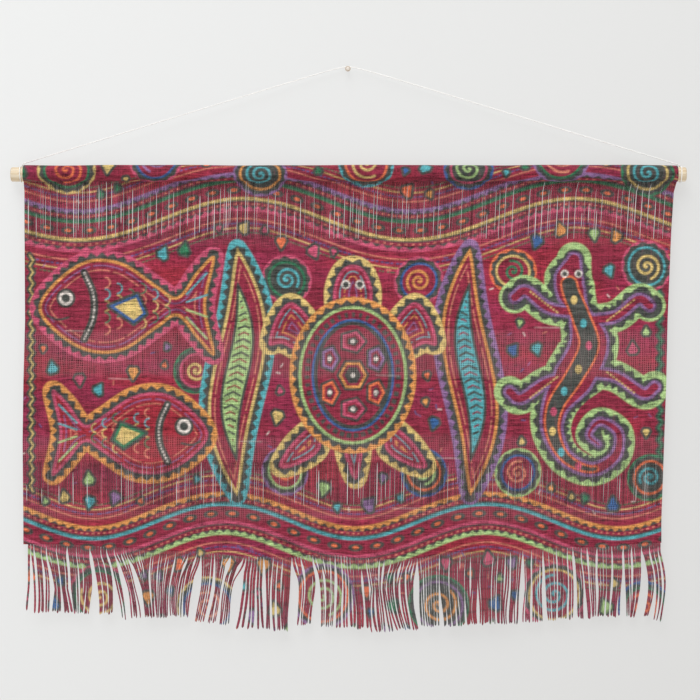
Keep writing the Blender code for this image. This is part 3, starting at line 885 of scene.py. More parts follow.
for x, depth, wide, tall, sides, colour in PLATES:
    at = (TURTLE_X + x, TURTLE_DEPTH + depth)
    patch(ring(*at, wide, tall, 0.0, sides), (3.0, DARK), (0.0, colour), (-3.0, CRIMSON), (-6.0, DARK))
    patch(ring(*at, 2.8, 2.8), (0.0, WHITE))


def eyes(x, depth, size, rim):
    """A pair of dark eyes with white rims."""
    for hand in (-1.0, 1.0):
        patch(ring(x + hand * EYES_OUT, depth, size, size), (0.0, WHITE), (-rim, DARK))


eyes(TURTLE_X, TURTLE_DEPTH - 110.0, 5.6, 2.0)

# two fish on the left
FISH = (
    # x, depth, length, height, which way it looks, outline, strip, fill, fin
    (-268, 288, 214, 118, -1, AMBER, PINK, CRIMSON, BLUE),
    (-264, 442, 190, 102, 1, PINK, AMBER, RED * 0.92, GREEN),
)
FISH_EDGE = (
    # along the fish from nose to tail, and up or down, as parts of its length and height
    (0.00, 0.02), (0.10, -0.26), (0.28, -0.47), (0.48, -0.44), (0.68, -0.20), (0.79, -0.10), (0.90, -0.36),
    (1.00, -0.50), (0.95, 0.00), (1.00, 0.50), (0.90, 0.34), (0.79, 0.11), (0.68, 0.22), (0.48, 0.46),
    (0.28, 0.47), (0.10, 0.28),
)
FISH_GILL = ((0.26, -0.34), (0.31, -0.12), (0.31, 0.12), (0.26, 0.34))
FISH_MOUTH = ((0.05, 0.10), (0.11, 0.14), (0.17, 0.12))
FISH_FIN = ((0.40, 0.0), (0.56, -0.12), (0.61, 0.08), (0.54, 0.18))
FISH_EYE = (0.155, -0.08)
FISH_SCALES = (YELLOW, GREEN, SALMON, TURQUOISE)


def on_fish(fish, *rows):
    """Places on a fish, from rows of how far along it and how far up or down they lie."""
    x, depth, length, height, looks = fish[:5]
    return [(x + looks * length * (0.5 - along), depth + height * up) for along, up in rows]


for fish in FISH:
    outline, strip, fill, fin = fish[5:]
    body = Trace(smooth(on_fish(fish, *FISH_EDGE), True), 30.0, closed=True)
    applique(body, outline, strip, fill, echoes=(LILAC, SALMON))
    gill = smooth(on_fish(fish, *FISH_GILL))
    thread(gill, DARK, 9.5, strength=1.0)
    thread(gill, WHITE, 2.4, pitch=4.2)
    for column in range(6):
        for row in range(-2, 3):
            along = 0.38 + 0.068 * column
            up = 0.12 * row + 0.06 * (column % 2)
            if abs(up) < 0.29 - 0.45 * (along - 0.38):
                turns = np.linspace(-1.6, 1.6, 7)
                scale = [(along + 0.026 * math.cos(turn), up + 0.052 * math.sin(turn)) for turn in turns]
                thread(on_fish(fish, *scale), FISH_SCALES[(column + row) % 4], 1.8)
    for up in (-0.24, -0.08, 0.08, 0.24):
        thread(on_fish(fish, (0.84, up * 0.5), (0.955, up * 1.4)), (TURQUOISE, LIME)[up > 0], 2.4)
    eye = ring(*on_fish(fish, FISH_EYE)[0], 8.6, 8.6)
    patch(eye, (3.0, DARK), (0.0, WHITE), (-3.4, DARK))
    thread(smooth(on_fish(fish, *FISH_MOUTH)), DARK, 2.6, strength=1.0)
    patch(on_fish(fish, *FISH_FIN), (3.4, DARK), (0.0, fin), (-3.2, YELLOW))

# a lizard on the right, with its tail rolled up
SPINE = (
    # x and depth from the nose to the tip of the tail
    (274, 232), (268, 262), (282, 300), (292, 336), (274, 374), (252, 408), (248, 440), (264, 472),
    (296, 486), (324, 470), (328, 442), (306, 428), (292, 444), (304, 456),
)
GIRTH = np.array(
    (
        # share of the spine from nose to tail tip, half width
        (0.00, 10), (0.05, 19), (0.10, 19), (0.15, 13), (0.24, 25), (0.36, 26), (0.46, 17),
        (0.60, 11), (0.80, 7.5), (1.00, 4.5),
    )
)
LIZARD_X = 284.0
LIZARD_LEGS = (
    # which side, depth of its root, reach, how far down its foot is
    (-1, 296, 68, -26), (1, 306, 68, -26), (-1, 374, 74, 26), (1, 368, 74, 26),
)
spine = smooth(SPINE)
body = Trace(spine, 46.0)
body.away = body.away - np.interp(body.along / body.length, GIRTH[:, 0], GIRTH[:, 1])
legs = []
for hand, depth, reach, drop in LIZARD_LEGS:
    bones = (
        # the root, the knee, the ankle and the toes
        (LIZARD_X, depth),
        (LIZARD_X + hand * 40.0, depth + 0.2 * drop),
        (LIZARD_X + hand * reach, depth + drop),
        (LIZARD_X + hand * reach + 14.0 * hand, depth + 0.7 * drop),
    )
    leg = Trace(smooth(bones), 46.0)
    leg.away = leg.away - 8.0
    legs.append(leg)
applique(merge([body, *legs]), LILAC, LIME, CRIMSON)
core = Trace(spine[8:66], 24.0)
core_half = 0.55 * np.interp(core.along / core.length, (0.0, 0.3, 0.6, 1.0), (20.0, 24.0, 20.0, 8.0))
core.away = core.away - core_half
lay(core, (0.0, ORANGE), (-2.4, DARK))
for number in range(9):
    patch(ring(*spine[12 + 6 * number], 4.0, 5.4), (0.0, (YELLOW, TURQUOISE, PINK)[number % 3]))
eyes(271.0, 249.0, 4.8, 1.9)
for hand, depth, reach, drop in LIZARD_LEGS:
    thread(((LIZARD_X + hand * 30, depth), (LIZARD_X + hand * 64, depth + drop)), YELLOW, 2.0, pitch=4.4)

# wedges of every colour wherever the ground is still bare, first large ones and then small
WEDGES = (
    # how many tries, least and most half height, how much ground each keeps clear
    (6000, 7.5, 10, 8),
    (5000, 4, 5.6, 6),
)
WEDGE_CORNERS = np.array((0.0, 1.9, 2.5, -2.5, -1.9))
WEDGE_COLOURS = (ORANGE, AMBER, GREEN, BLUE, TURQUOISE, LILAC, PINK, LIME, YELLOW)
chance = np.random.default_rng(7)


def cell(x, depth):
    """The row and the column of the canvas at a place."""
    return int((depth - PRINT_TOP) / PRINT_STEP), int((x - PRINT_LEFT) / PRINT_STEP)


def bare(x, depth, reach):
    """Whether the ground is free for that far round a place."""
    row, column = cell(x, depth)
    need = int(reach / PRINT_STEP)
    return not busy[max(0, row - need) : row + need, max(0, column - need) : column + need].any()


for tries, least, most, clear in WEDGES:
    for _ in range(tries):
        x = chance.uniform(PRINT_LEFT + 6, PRINT_RIGHT - 6)
        depth = chance.uniform(PRINT_TOP + 4, PRINT_LOW - 6)
        size = chance.uniform(least, most)
        if bare(x, depth, size + 3.0):
            angle = chance.choice((0.5, 1.5)) * math.pi + chance.normal(0.0, 0.35) + WEDGE_CORNERS
            corners = np.stack((x + 0.80 * size * np.cos(angle), depth + size * np.sin(angle)), 1)
            colour = WEDGE_COLOURS[chance.integers(len(WEDGE_COLOURS))]
            patch(corners, (3.2, DARK), (0.0, colour), clear=clear)

# short stitches scattered in what is left
STITCH_TRIES = 1500
STITCH_COLOURS = (WHITE, BLUE, LILAC, SALMON)
for number in range(STITCH_TRIES):
    x = chance.uniform(PRINT_LEFT + 4, PRINT_RIGHT - 4)
    depth = chance.uniform(PRINT_TOP + 4, PRINT_LOW - 4)
    if bare(x, depth, 3.0):
        angle = chance.uniform(0.0, math.pi)
        along = np.array((math.cos(angle), math.sin(angle))) * 2.2
        thread(((x, depth) - along, (x, depth) + along), STITCH_COLOURS[number % 4], 1.6, strength=0.75)
        busy[cell(x, depth)] = True

# weft threads that were pulled to the front and show their pale side for a few centimetres
PULLED = (
    # from x to x, depth
    (-342, -318, 318), (-96, -78, 326), (226, 262, 314), (34, 62, 372),
    (-290, -262, 376), (108, 136, 472), (-130, -104, 452), (54, 88, 533),
    (-226, -204, 546), (300, 322, 538),
)
for first, last, depth in PULLED:
    thread(((first, depth), (last, depth + 0.6)), WHITE, 0.9, strength=0.5)


def soften(image, passes):
    """Spreads each cell a little into the four beside it, as dye creeps along yarn."""
    for _ in range(passes):
        padded = np.pad(image, ((1, 1), (1, 1), (0, 0)), mode="edge")
        beside = padded[:-2, 1:-1] + padded[2:, 1:-1] + padded[1:-1, :-2] + padded[1:-1, 2:]
        image = 0.5 * image + 0.125 * beside
    return image


canvas = soften(canvas, 2)

# The cloth is one length of loosely handwoven cotton with the whole design dyed on it. Its top is folded over
# the rod and sewn down into a pocket, and the rest hangs free from that seam in slow folds. It is made in a
# few stretches, with two bands of bare warp between them.
CLOTH_THICK = 1.8
HALF_THICK = 0.5 * CLOTH_THICK
POCKET_GAP = 0.5
SEAM_DEPTH = 139.56
SEAM_TIGHT = 2.0
POCKET_WIDE = 790.0
POCKET_ROWS = 54
POCKET_TURNED_IN = (7.0, 0.4)
POCKET_TURNED_OFF = 0.1
# how much painted shade darkens the whole pocket
POCKET_SHADE = 0.85
HANG_WIDE = 785.0
HANG_FOOT = 585.0
HEM_ENDS = (-393.7, 380.1)
# painted shade that darkens the cloth toward its foot: how much, from what depth, and over what length
FOOT_PAINTED_SHADE = 0.06
FOOT_PAINTED_SHADE_FROM = 290.0
FOOT_PAINTED_SHADE_OVER = 240.0
FOLD_START = 50.0
PUCKERED = 0.6
COLUMN_STEP = 1.2
ROW_STEP = 1.2
BACK_WIDER = 2.8
BACK_DYED = 0.64
FLOATS_TOP = (138.6, 206.5)
FLOATS_LOW = (477.5, 529.0)
PIECE_SPLIT = 342.0
EDGE_LIP = (0.0, 0.12, 0.4, 0.9)
EDGE_IN = 1.5
UNDYED = dye(214, 196, 192)
CLOTH_EDGES = np.array(
    (
        # depth, left edge, right edge
        (117, -393, 400),
        (136, -393, 399),
        (150, -392, 395),
        (197, -392, 392),
        (306, -391.5, 387.5),
        (378, -393.5, 386),
        (450, -394.5, 383.5),
        (548, -393.5, 380),
        (578, -393.5, 380),
    )
)
HEM = np.array(
    (
        # x, depth of the lower edge, at its dips and rises
        (-394, 577), (-340, 577), (-270, 581), (-232, 585), (-178, 585), (-124, 591.5),
        (-68, 593), (-40, 589.5), (-16, 589.5), (6, 593), (52, 595), (84, 594),
        (120, 586.5), (190, 585), (262, 580.5), (306, 580), (360, 575.5), (380, 575),
    )
)
FOLDS = (
    # height, length, phase, lean of the crest with depth
    (1.5, 330, 0.4, 0.0035),
    (0.8, 147, 1.3, -0.0060),
    (0.4, 83, 2.6, 0.0110),
)
PUCKERS = (
    # height, length across, length down, phase
    (0.16, 211, 23, 0.3),
    (0.12, -137, 13, 1.9),
    (0.10, 89, 9.3, 4),
    (0.07, -61, 6.1, 2.2),
)


def edges(depth):
    """x of the cloth's left and right edges at a depth, read along the table."""
    return [np.interp(depth, CLOTH_EDGES[:, 0], CLOTH_EDGES[:, side]) for side in (1, 2)]


def hem_depth(x):
    """Depth of the lower edge at x, read along the table."""
    return np.interp(x, HEM[:, 0], HEM[:, 1])


def eased(share):
    """A share held between 0 and 1 and eased at both ends: 3 times its square less 2 times its cube."""
    share = np.clip(share, 0.0, 1.0)
    return share * share * (3.0 - 2.0 * share)


def fold(x, depth):
    """How far the hung cloth stands off its mean plane: leaning sine waves that fade in below the seam."""
    total = sum(h * np.sin(TURN * x / length + phase + lean * depth) for h, length, phase, lean in FOLDS)
    return eased((depth - SEAM_DEPTH) / FOLD_START) * total


def pucker(x, depth):
    """The weave's own unevenness: low waves that run nearly level across the cloth."""
    return sum(
        h * np.sin(TURN * (x / across + depth / down) + phase + 1.7 * np.sin(x / 47.0 + phase))
        for h, across, down, phase in PUCKERS
    )


def lip(inside_by):
    """How far a face stands off the cloth's middle: a quarter circle beside a free edge, and half the cloth's
    thickness further in."""
    share = np.clip(inside_by / HALF_THICK, 0.0, 1.0)
    return HALF_THICK * np.sqrt(1.0 - (1.0 - share) ** 2)


def steps_with_lips(length, step, first_lip=True, last_lip=True):
    """Places along a side of about that length, as shares of it and distances to add: even steps, with a few
    close ones at each lip."""
    start = EDGE_IN if first_lip else 0.0
    end = EDGE_IN if last_lip else 0.0
    share = np.linspace(0.0, 1.0, int(round((length - start - end) / step)) + 1)
    add = start * (1.0 - share) - end * share
    if first_lip:
        share = np.concatenate((np.zeros(len(EDGE_LIP)), share))
        add = np.concatenate((EDGE_LIP, add))
    if last_lip:
        share = np.concatenate((share, np.ones(len(EDGE_LIP))))
        add = np.concatenate((add, -np.array(EDGE_LIP)[::-1]))
    return share, add


def ink(x, depth):
    """The dyed colour at a place of the cloth, read between the four nearest cells of the canvas."""
    column = np.clip((x - PRINT_LEFT) / PRINT_STEP, 0.0, canvas.shape[1] - 1.001)
    row = np.clip((depth - PRINT_TOP) / PRINT_STEP, 0.0, canvas.shape[0] - 1.001)
    over = column.astype(int)
    down = row.astype(int)
    return between_cells(canvas, down, over, (row - down)[..., None], (column - over)[..., None])


CREASES = np.array(
    (
        # top and foot of a stretch, how many creases, how deep, seed
        (214, 316, 13, 1, 4),
        (376, 444, 7, 0.9, 9),
        (332, 372, 3, 0.5, 14),
        (536, 582, 6, 0.8, 23),
        (146, 204, 3, 0.5, 30),
        (482, 524, 3, 0.5, 31),
    )
)
CREASE_HALF = 1.3
CREASE_DIP = 0.45
# how much painted shade darkens a crease's middle, and how much painted highlight lightens the line under it
CREASE_SHADE = 0.42
CREASE_LIGHT = 0.14
CREASE_UNDER = 2.4


def crease(x, depth):
    """The short level creases of the hung weave: each is a bell across a line that wanders about its own
    depth, and it is there only round the crests of a slow sine along the cloth. 1 in its middle."""
    total = np.zeros(np.broadcast(x, depth).shape)
    for top, foot, count, deep, seed in CREASES:
        chance = np.random.default_rng(int(seed))
        for middle in np.linspace(top, foot, int(count)) + chance.uniform(-3.0, 3.0, int(count)):
            size = chance.uniform(0.6, 1.0)
            phase = chance.uniform(0.0, 6.28)
            slope = chance.normal(0.0, 0.006)
            line = middle + slope * x + 1.6 * np.sin(x / 38.0 + phase) + 0.7 * np.sin(x / 14.0 + 2.0 * phase)
            there = np.clip(np.sin(x / chance.uniform(55.0, 120.0) + 3.0 * phase) * 1.6 - 0.35, 0.0, 1.0)
            total = np.maximum(total, deep * size * there * np.exp(-(((depth - line) / CREASE_HALF) ** 2)))
    return total


OPEN_ROWS = (
    # top and foot of a band where the weave is open, and how open
    (318, 374, 1),
    (446, 477.5, 0.8),
    (529, 547, 0.9),
    (206.5, 214, 0.5),
)
OPEN_FADE = 8.0


def openness(x, depth):
    """How open the weave is: 1 inside the open bands and 0 outside, over a few millimetres, with the bands'
    edges uneven by a slow wave."""
    shift = 1.4 * np.sin(x / 53.0) + 0.8 * np.sin(x / 19.0 + 2.0)
    total = np.zeros(np.broadcast(x, depth).shape)
    for top, foot, share in OPEN_ROWS:
        inner = np.minimum(depth + shift - top, foot - depth - shift)
        total = np.maximum(total, share * np.clip(inner / OPEN_FADE + 0.5, 0.0, 1.0))
    return total


WARP_RIB = 0.00267
WEFT_RIB = 0.00252


def make_cloth_dye():
    """Dyed handwoven cotton. Level slubs, upright yarns, fine fibre and short dark dashes vary the print. In
    the open bands the weave's ribs show, the small holes between them are darkened as painted shade, and
    the dye is paler."""
    sheen = {"Sheen_Weight": 0.06, "Sheen_Roughness": 0.6}
    finish = Finish("dyed handwoven cotton", 0.95, Specular_IOR_Level=0.15, **sheen)
    opened = finish.mark("open")
    upright = finish.mark("upright")
    slub = finish.noise((70.0, 70.0, 470.0), 3.0, 0.6)
    yarn = finish.noise((420.0, 420.0, 26.0), 3.0, 0.6)
    speck = finish.noise(760.0, 2.0, 0.7)
    dash = finish.noise((95.0, 95.0, 640.0), 2.0, 0.5).between(0.62, 0.70)
    drift = finish.noise(60.0, 2.0, 0.5)
    warp = (finish.along("X") * (TURN / WARP_RIB) + drift * 7.0).wave()
    weft = (finish.along("Z") * (TURN / WEFT_RIB) + drift * 11.0).wave()
    opened = opened * (drift * 1.2 + 0.4)
    holes = (warp * 0.55 + weft * 0.40 + (speck - 0.5) * 2.2).between(0.05, 0.45)
    tone = (slub - 0.5) * (2.7 - upright * 1.1) + (yarn - 0.5) * (0.9 + upright)
    tone = tone + (speck - 0.5) * 1.7 + 1.02
    # in the open bands the ribs are lighter, and the holes between them are darkened as painted shade
    tone = tone + warp * (upright * 0.08 + 0.03) + (0.27 - holes * 0.84) * opened - dash * 0.26
    dyed = finish.printed(tone)
    dyed = finish.mixed(yarn.between(0.54, 0.74) * 0.22, dyed, dye(150, 52, 82))
    colour = finish.mixed((1.0 - holes) * opened * 0.09, dyed, UNDYED)
    height = slub * 0.5 + yarn * 0.3 + speck * 0.2 + warp * 0.1 + weft * 0.14
    rough = speck * 0.2 + 0.78
    return finish.done(Base_Color=colour, Roughness=rough, Normal=finish.bump(height, 0.9, 0.8))


cloth_dye = make_cloth_dye()


def woven(name, top, foot, top_lip, foot_lip, back=False):
    """One face of a stretch of the cloth: rows from top to foot, where no foot means the hem, and columns
    from edge to edge. It stands off the middle by the lip at its free edges. A crease gets painted shade,
    with a painted highlight on a line under it, and painted shade makes the cloth a little darker toward
    its foot. The back is paler, as dye sinks in only part of the way, and has wider steps."""
    wider = BACK_WIDER if back else 1.0
    width_share, width_add = steps_with_lips(HANG_WIDE, COLUMN_STEP * wider)
    row_share, row_add = steps_with_lips((foot or HANG_FOOT) - top, ROW_STEP * wider, top_lip, foot_lip)
    rough_x = np.linspace(*HEM_ENDS, len(width_share))[None, :]
    low = hem_depth(rough_x) if foot is None else np.full(rough_x.shape, foot)
    depth = top + (low - top) * row_share[:, None] + row_add[:, None]
    left, right = edges(depth)
    x = left + (right - left) * width_share[None, :] + width_add[None, :]
    inner = np.minimum(x - left, right - x)
    if top_lip:
        inner = np.minimum(inner, depth - top)
    if foot_lip:
        inner = np.minimum(inner, low - depth)
    off = lip(inner) if back else -lip(inner)
    dip = crease(x, depth)
    y = ROD_Y + fold(x, depth) + PUCKERED * pucker(x, depth) + CREASE_DIP * dip + off
    points = np.stack((x, y, -depth), axis=-1).reshape(-1, 3)
    # painted shade in each crease and a painted highlight on the line just under it, on top of the crease's
    # real dip
    shade = 1.0 - CREASE_SHADE * dip + CREASE_LIGHT * crease(x, depth - CREASE_UNDER)
    # painted shade: the cloth is darkened toward its foot, where it hangs farther from the light
    shade = shade * (1.0 - FOOT_PAINTED_SHADE * np.clip((depth - FOOT_PAINTED_SHADE_FROM) / FOOT_PAINTED_SHADE_OVER, 0.0, 1.0))
    colours = (ink(x, depth) * shade[..., None]).reshape(-1, 3)
    if back:
        colours = BACK_DYED * colours + (1.0 - BACK_DYED) * UNDYED
    faces = grid_faces(len(row_share), len(width_share))
    if not back:
        faces = faces[:, ::-1]
    open_weave = openness(x, depth).ravel()
    return add_piece(name, points, faces, cloth_dye, colours, {"open": open_weave, "upright": open_weave})


def pocket():
    """The rod pocket: round the rod from the seam over front, top and back to the seam again, as a ring of
    the cloth's outer radius. It is unevenly slack near the top, drawn in toward the seam, and turned in at
    each end over the cloth's edge to the inner face. The print goes on over the rod, so a place is dyed as
    its distance along the cloth from the seam says."""
    inner = ROD_RADIUS + POCKET_GAP
    outer = inner + CLOTH_THICK
    seam = math.asin(HALF_THICK / outer)
    turned_in = np.array(POCKET_TURNED_IN)
    share, add = steps_with_lips(POCKET_WIDE, COLUMN_STEP)
    angle = np.linspace(seam, TURN - seam, POCKET_ROWS)[:, None]
    share = np.concatenate(((0.0, 0.0), share, (1.0, 1.0)))[None, :]
    add = np.concatenate((turned_in, add, -turned_in[::-1]))[None, :]
    left, right = edges(ROD_DEPTH)
    x = left + (right - left) * share + add
    off = HALF_THICK + lip(np.minimum(x - left, right - x))
    off[:, (0, 1, -2, -1)] = POCKET_TURNED_OFF
    loose = np.maximum(0.0, np.cos(angle - 0.85 * math.pi)) ** 2
    drawn_in = SEAM_TIGHT * np.maximum(0.0, np.cos(angle)) ** 2
    slack = 0.35 + 0.35 * np.sin(x / 41.0 + 0.7) + 0.2 * np.sin(x / 17.0)
    wrinkle = 0.16 * np.sin(x / 23.0 + 2.2 * np.sin(angle * 2.0)) * np.sin(angle) ** 2
    radius = inner + off + slack * loose + wrinkle + 0.5 * pucker(x, angle * outer) - drawn_in
    y = ROD_Y - radius * np.sin(angle)
    z = -ROD_DEPTH - radius * np.cos(angle)
    printed = SEAM_DEPTH - (angle - seam) * outer
    points = np.stack((x + 0.0 * angle, y, z), axis=-1).reshape(-1, 3)
    # the pocket's print is darkened as a whole: painted shade for the cloth round the rod
    colours = POCKET_SHADE * ink(x + 0.0 * angle, printed + 0.0 * x).reshape(-1, 3)
    faces = grid_faces(len(angle), share.shape[1])
    dense = np.zeros(len(points))
    return add_piece("cloth_rod_pocket", points, faces, cloth_dye, colours, {"open": dense, "upright": dense})


SLITS_TOP = (
    # from x to x, how many slits, top and foot of the stretch, widest slit
    (-388, -378, 2, 140, 205, 0.8), (-334, -254, 13, 138, 208, 0.9), (-242, -186, 8, 150, 211, 0.7),
    (-179, -126, 8, 138, 209, 1.0), (-99, -58, 6, 148, 210, 0.7), (-22, 35, 11, 142, 211, 0.8),
    (53, 121, 8, 155, 211, 0.6), (169, 197, 5, 142, 211, 0.6), (218, 306, 12, 138, 210, 0.9),
    (337, 370, 5, 142, 209, 0.8),
)
SLITS_LOW = (
    # from x to x, how many slits, top and foot of the stretch, widest slit
    (-386, -334, 4, 490, 529, 0.8), (-308, -272, 2, 478, 532, 0.9), (-206, -133, 6, 477, 530, 0.85),
    (-62, 39, 7, 475, 532, 1.0), (54, 97, 3, 478, 526, 0.75), (177, 232, 3, 480, 521, 0.6),
    (338, 358, 2, 488, 525, 0.7),
)
NARROW_SLIT = 0.45
SHORT_SLIT = 16.0
SLIT_MOVES = 0.3
SLIT_POWER = 1.5
SLIT_LATE = 0.6
SLIT_EARLY = 0.35
SLIT_RUNS_ON = (2.0, 1.5)
WARP_PITCH = 2.79
HAIRLINE = (0.12, 0.42)
HAIRLINE_SHARE = 0.24
FLOAT_ENDS = (-391.8, 391.5)
FLOAT_PAST = 1.5
FLOAT_ROW = 1.3
FLOAT_CREASED = 0.3
FLOAT_YARN = np.array(
    (
        # across, off the middle plane, how pale
        (-0.80, 0.30, 0.30),
        (-1.00, -0.20, 0.10),
        (0.00, -0.86, 0.00),
        (1.00, -0.20, 0.10),
        (0.80, 0.30, 0.30),
    )
)


def slits(stretches, chance):
    """The slits between strands as rows of x, width, top and foot: in each stretch evenly spread, then moved,
    narrowed and shortened by chance."""
    rows = []
    for first, last, count, top, foot, widest in stretches:
        moves = chance.uniform(-SLIT_MOVES, SLIT_MOVES, count)
        places = np.linspace(first, last, count) + moves * (last - first) / count
        widths = chance.uniform(NARROW_SLIT, widest, count)
        tops = top + (foot - top) * chance.uniform(0.0, 1.0, count) ** SLIT_POWER * SLIT_LATE
        feet = foot - (foot - top) * chance.uniform(0.0, 1.0, count) ** SLIT_POWER * SLIT_EARLY
        rows.append(np.stack((places, widths, tops, np.maximum(feet, tops + SHORT_SLIT)), 1))
    return np.concatenate(rows)


def float_borders(band, stretches, chance):
    """The borders between the strands of a band: each one's share of the cloth's width, how wide it opens,
    and from what depth to what. Between two slits the strands share the space evenly, and some of the borders
    there leave a hairline."""
    table = slits(stretches, chance)
    top, foot = band
    stops = np.concatenate((FLOAT_ENDS[:1], table[:, 0], FLOAT_ENDS[1:]))
    counts = np.maximum(1, np.round(np.diff(stops) / WARP_PITCH).astype(int))
    spaces = zip(stops, stops[1:], counts)
    places = np.concatenate([low + (high - low) * np.arange(n) / n for low, high, n in spaces])
    count = len(places)
    firsts = np.concatenate(((0,), np.cumsum(counts)))[1:-1]
    move = chance.uniform(-0.3, 0.3, count)
    move[firsts] = 0.0
    share = (np.append(places + move, stops[-1]) - stops[0]) / (stops[-1] - stops[0])
    share[0] = 0.0
    hairlines = chance.uniform(0.0, 1.0, count + 1) < HAIRLINE_SHARE
    gaps = np.where(hairlines, chance.uniform(*HAIRLINE, count + 1), 0.0)
    opens = top + (foot - top) * chance.uniform(0.0, 0.25, count + 1)
    closes = foot - (foot - top) * chance.uniform(-0.05, 0.1, count + 1)
    gaps[firsts] = table[:, 1]
    opens[firsts] = table[:, 2] - SLIT_RUNS_ON[0]
    closes[firsts] = table[:, 3] + SLIT_RUNS_ON[1]
    gaps[0] = gaps[-1] = 0.0
    return share, gaps, opens, closes


def tube_points(x, y, depth):
    """Points with x, distance off the wall and depth, one strand after another: the arrays go strand by
    strand, ring by ring and round each ring."""
    return np.stack(np.broadcast_arrays(x, y, -depth), -1)


def tube_colours(points, pale, tones, dyed=1.0):
    """The print on strands, made paler by a share round each ring and lighter or darker by a tone for each
    strand."""
    colours = dyed * ink(points[..., 0], -points[..., 2]) * (1 - pale) + UNDYED * pale
    return (colours * tones[:, None, None, None]).reshape(-1, 3)


def float_band(name, band, stretches, seed):
    """Strands of warp with no weft between: each is a small five-sided yarn, paler at its sides. A slit is
    widest in its middle and closes at its ends as a root of a sine does."""
    chance = np.random.default_rng(seed)
    share, gaps, opens, closes = (row[:, None] for row in float_borders(band, stretches, chance))
    count = len(share) - 1
    top = band[0] - FLOAT_PAST
    foot = band[1] + FLOAT_PAST
    rows = int(round((foot - top) / FLOAT_ROW))
    depth = np.linspace(top, foot, rows)[None, :]
    open_for = np.clip((depth - opens) / (closes - opens), 0.0, 1.0)
    gap = gaps * np.sin(math.pi * open_for) ** 0.4
    left, right = edges(depth)
    border = left + (right - left) * share
    low = (border + 0.5 * gap)[:-1]
    high = (border - 0.5 * gap)[1:]
    middle = 0.5 * (low + high)
    half = 0.5 * (high - low)
    lift = chance.normal(0.0, 0.10, count)[:, None]
    stands = fold(middle, depth) + PUCKERED * pucker(middle, depth)
    stands = stands + FLOAT_CREASED * crease(middle, depth) + lift
    across, off, pale = FLOAT_YARN.T
    x = middle[..., None] + across * half[..., None]
    points = tube_points(x, (ROD_Y + stands)[..., None] + off, depth[..., None])
    colours = tube_colours(points, pale[:, None], 0.91 + chance.normal(0.0, 0.14, count))
    faces = grid_faces(rows, len(FLOAT_YARN), closed=True, grids=count)[:, ::-1]
    marks = {"open": np.zeros(len(colours)), "upright": np.ones(len(colours))}
    return add_piece(name, points.reshape(-1, 3), faces, cloth_dye, colours, marks)


pocket_piece = pocket()
upper = woven("cloth_upper_face", FLOATS_TOP[1], PIECE_SPLIT, True, False)
middle_face = woven("cloth_middle_face", PIECE_SPLIT, FLOATS_LOW[0], False, True)
lower = woven("cloth_lower_face", FLOATS_LOW[1], None, True, True)
upper_back = woven("cloth_upper_reverse", FLOATS_TOP[1], FLOATS_LOW[0], True, True, back=True)
lower_back = woven("cloth_lower_reverse", FLOATS_LOW[1], None, True, True, back=True)
floats_top = float_band("cloth_floats_under_pocket", FLOATS_TOP, SLITS_TOP, 21)
floats_low = float_band("cloth_floats_low", FLOATS_LOW, SLITS_LOW, 35)
for piece in (pocket_piece, upper, middle_face, lower, upper_back, lower_back, floats_top, floats_low):
    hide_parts("cloth")

# The fringe is the cotton warp's own ends, left long below the last row of weft. They hang in locks that lean
# and bow, each of a few loose strands in two layers, and the print runs on over them as they lie.
LOCK_TOP = 584.4
LOCK_LOW = 669.2
LOCK_WAIST_AT = 0.55
STRAND_WIDTH = 3.3
STRAND_NARROWEST = 1.5
STRAND_SIDES = 6
STRAND_RINGS = 60
STRAND_DEEP = 0.72
STRAND_PLY_PITCH = 11.0
STRAND_TIP = 0.25
FRINGE_TONE = 0.94
LAYER_OFF = 0.5
SWAY = 1.6
ROOT_IN = 1.6
ROOT_PARTS = 34.0
STRAND_GAP = (0.3, 0.8)
GAP_SHARE = 0.4
BUNCH_LEAST = 2
BUNCH_MOST = 4
BUNCH_TIGHT = (0.74, 0.96)
BUNCH_OPENS = (8.0, 34.0)
BUNCH_CURL = 0.9
STRAY = 0.6
LOOSER = 0.14
WEFT_MARKS = 0.0135
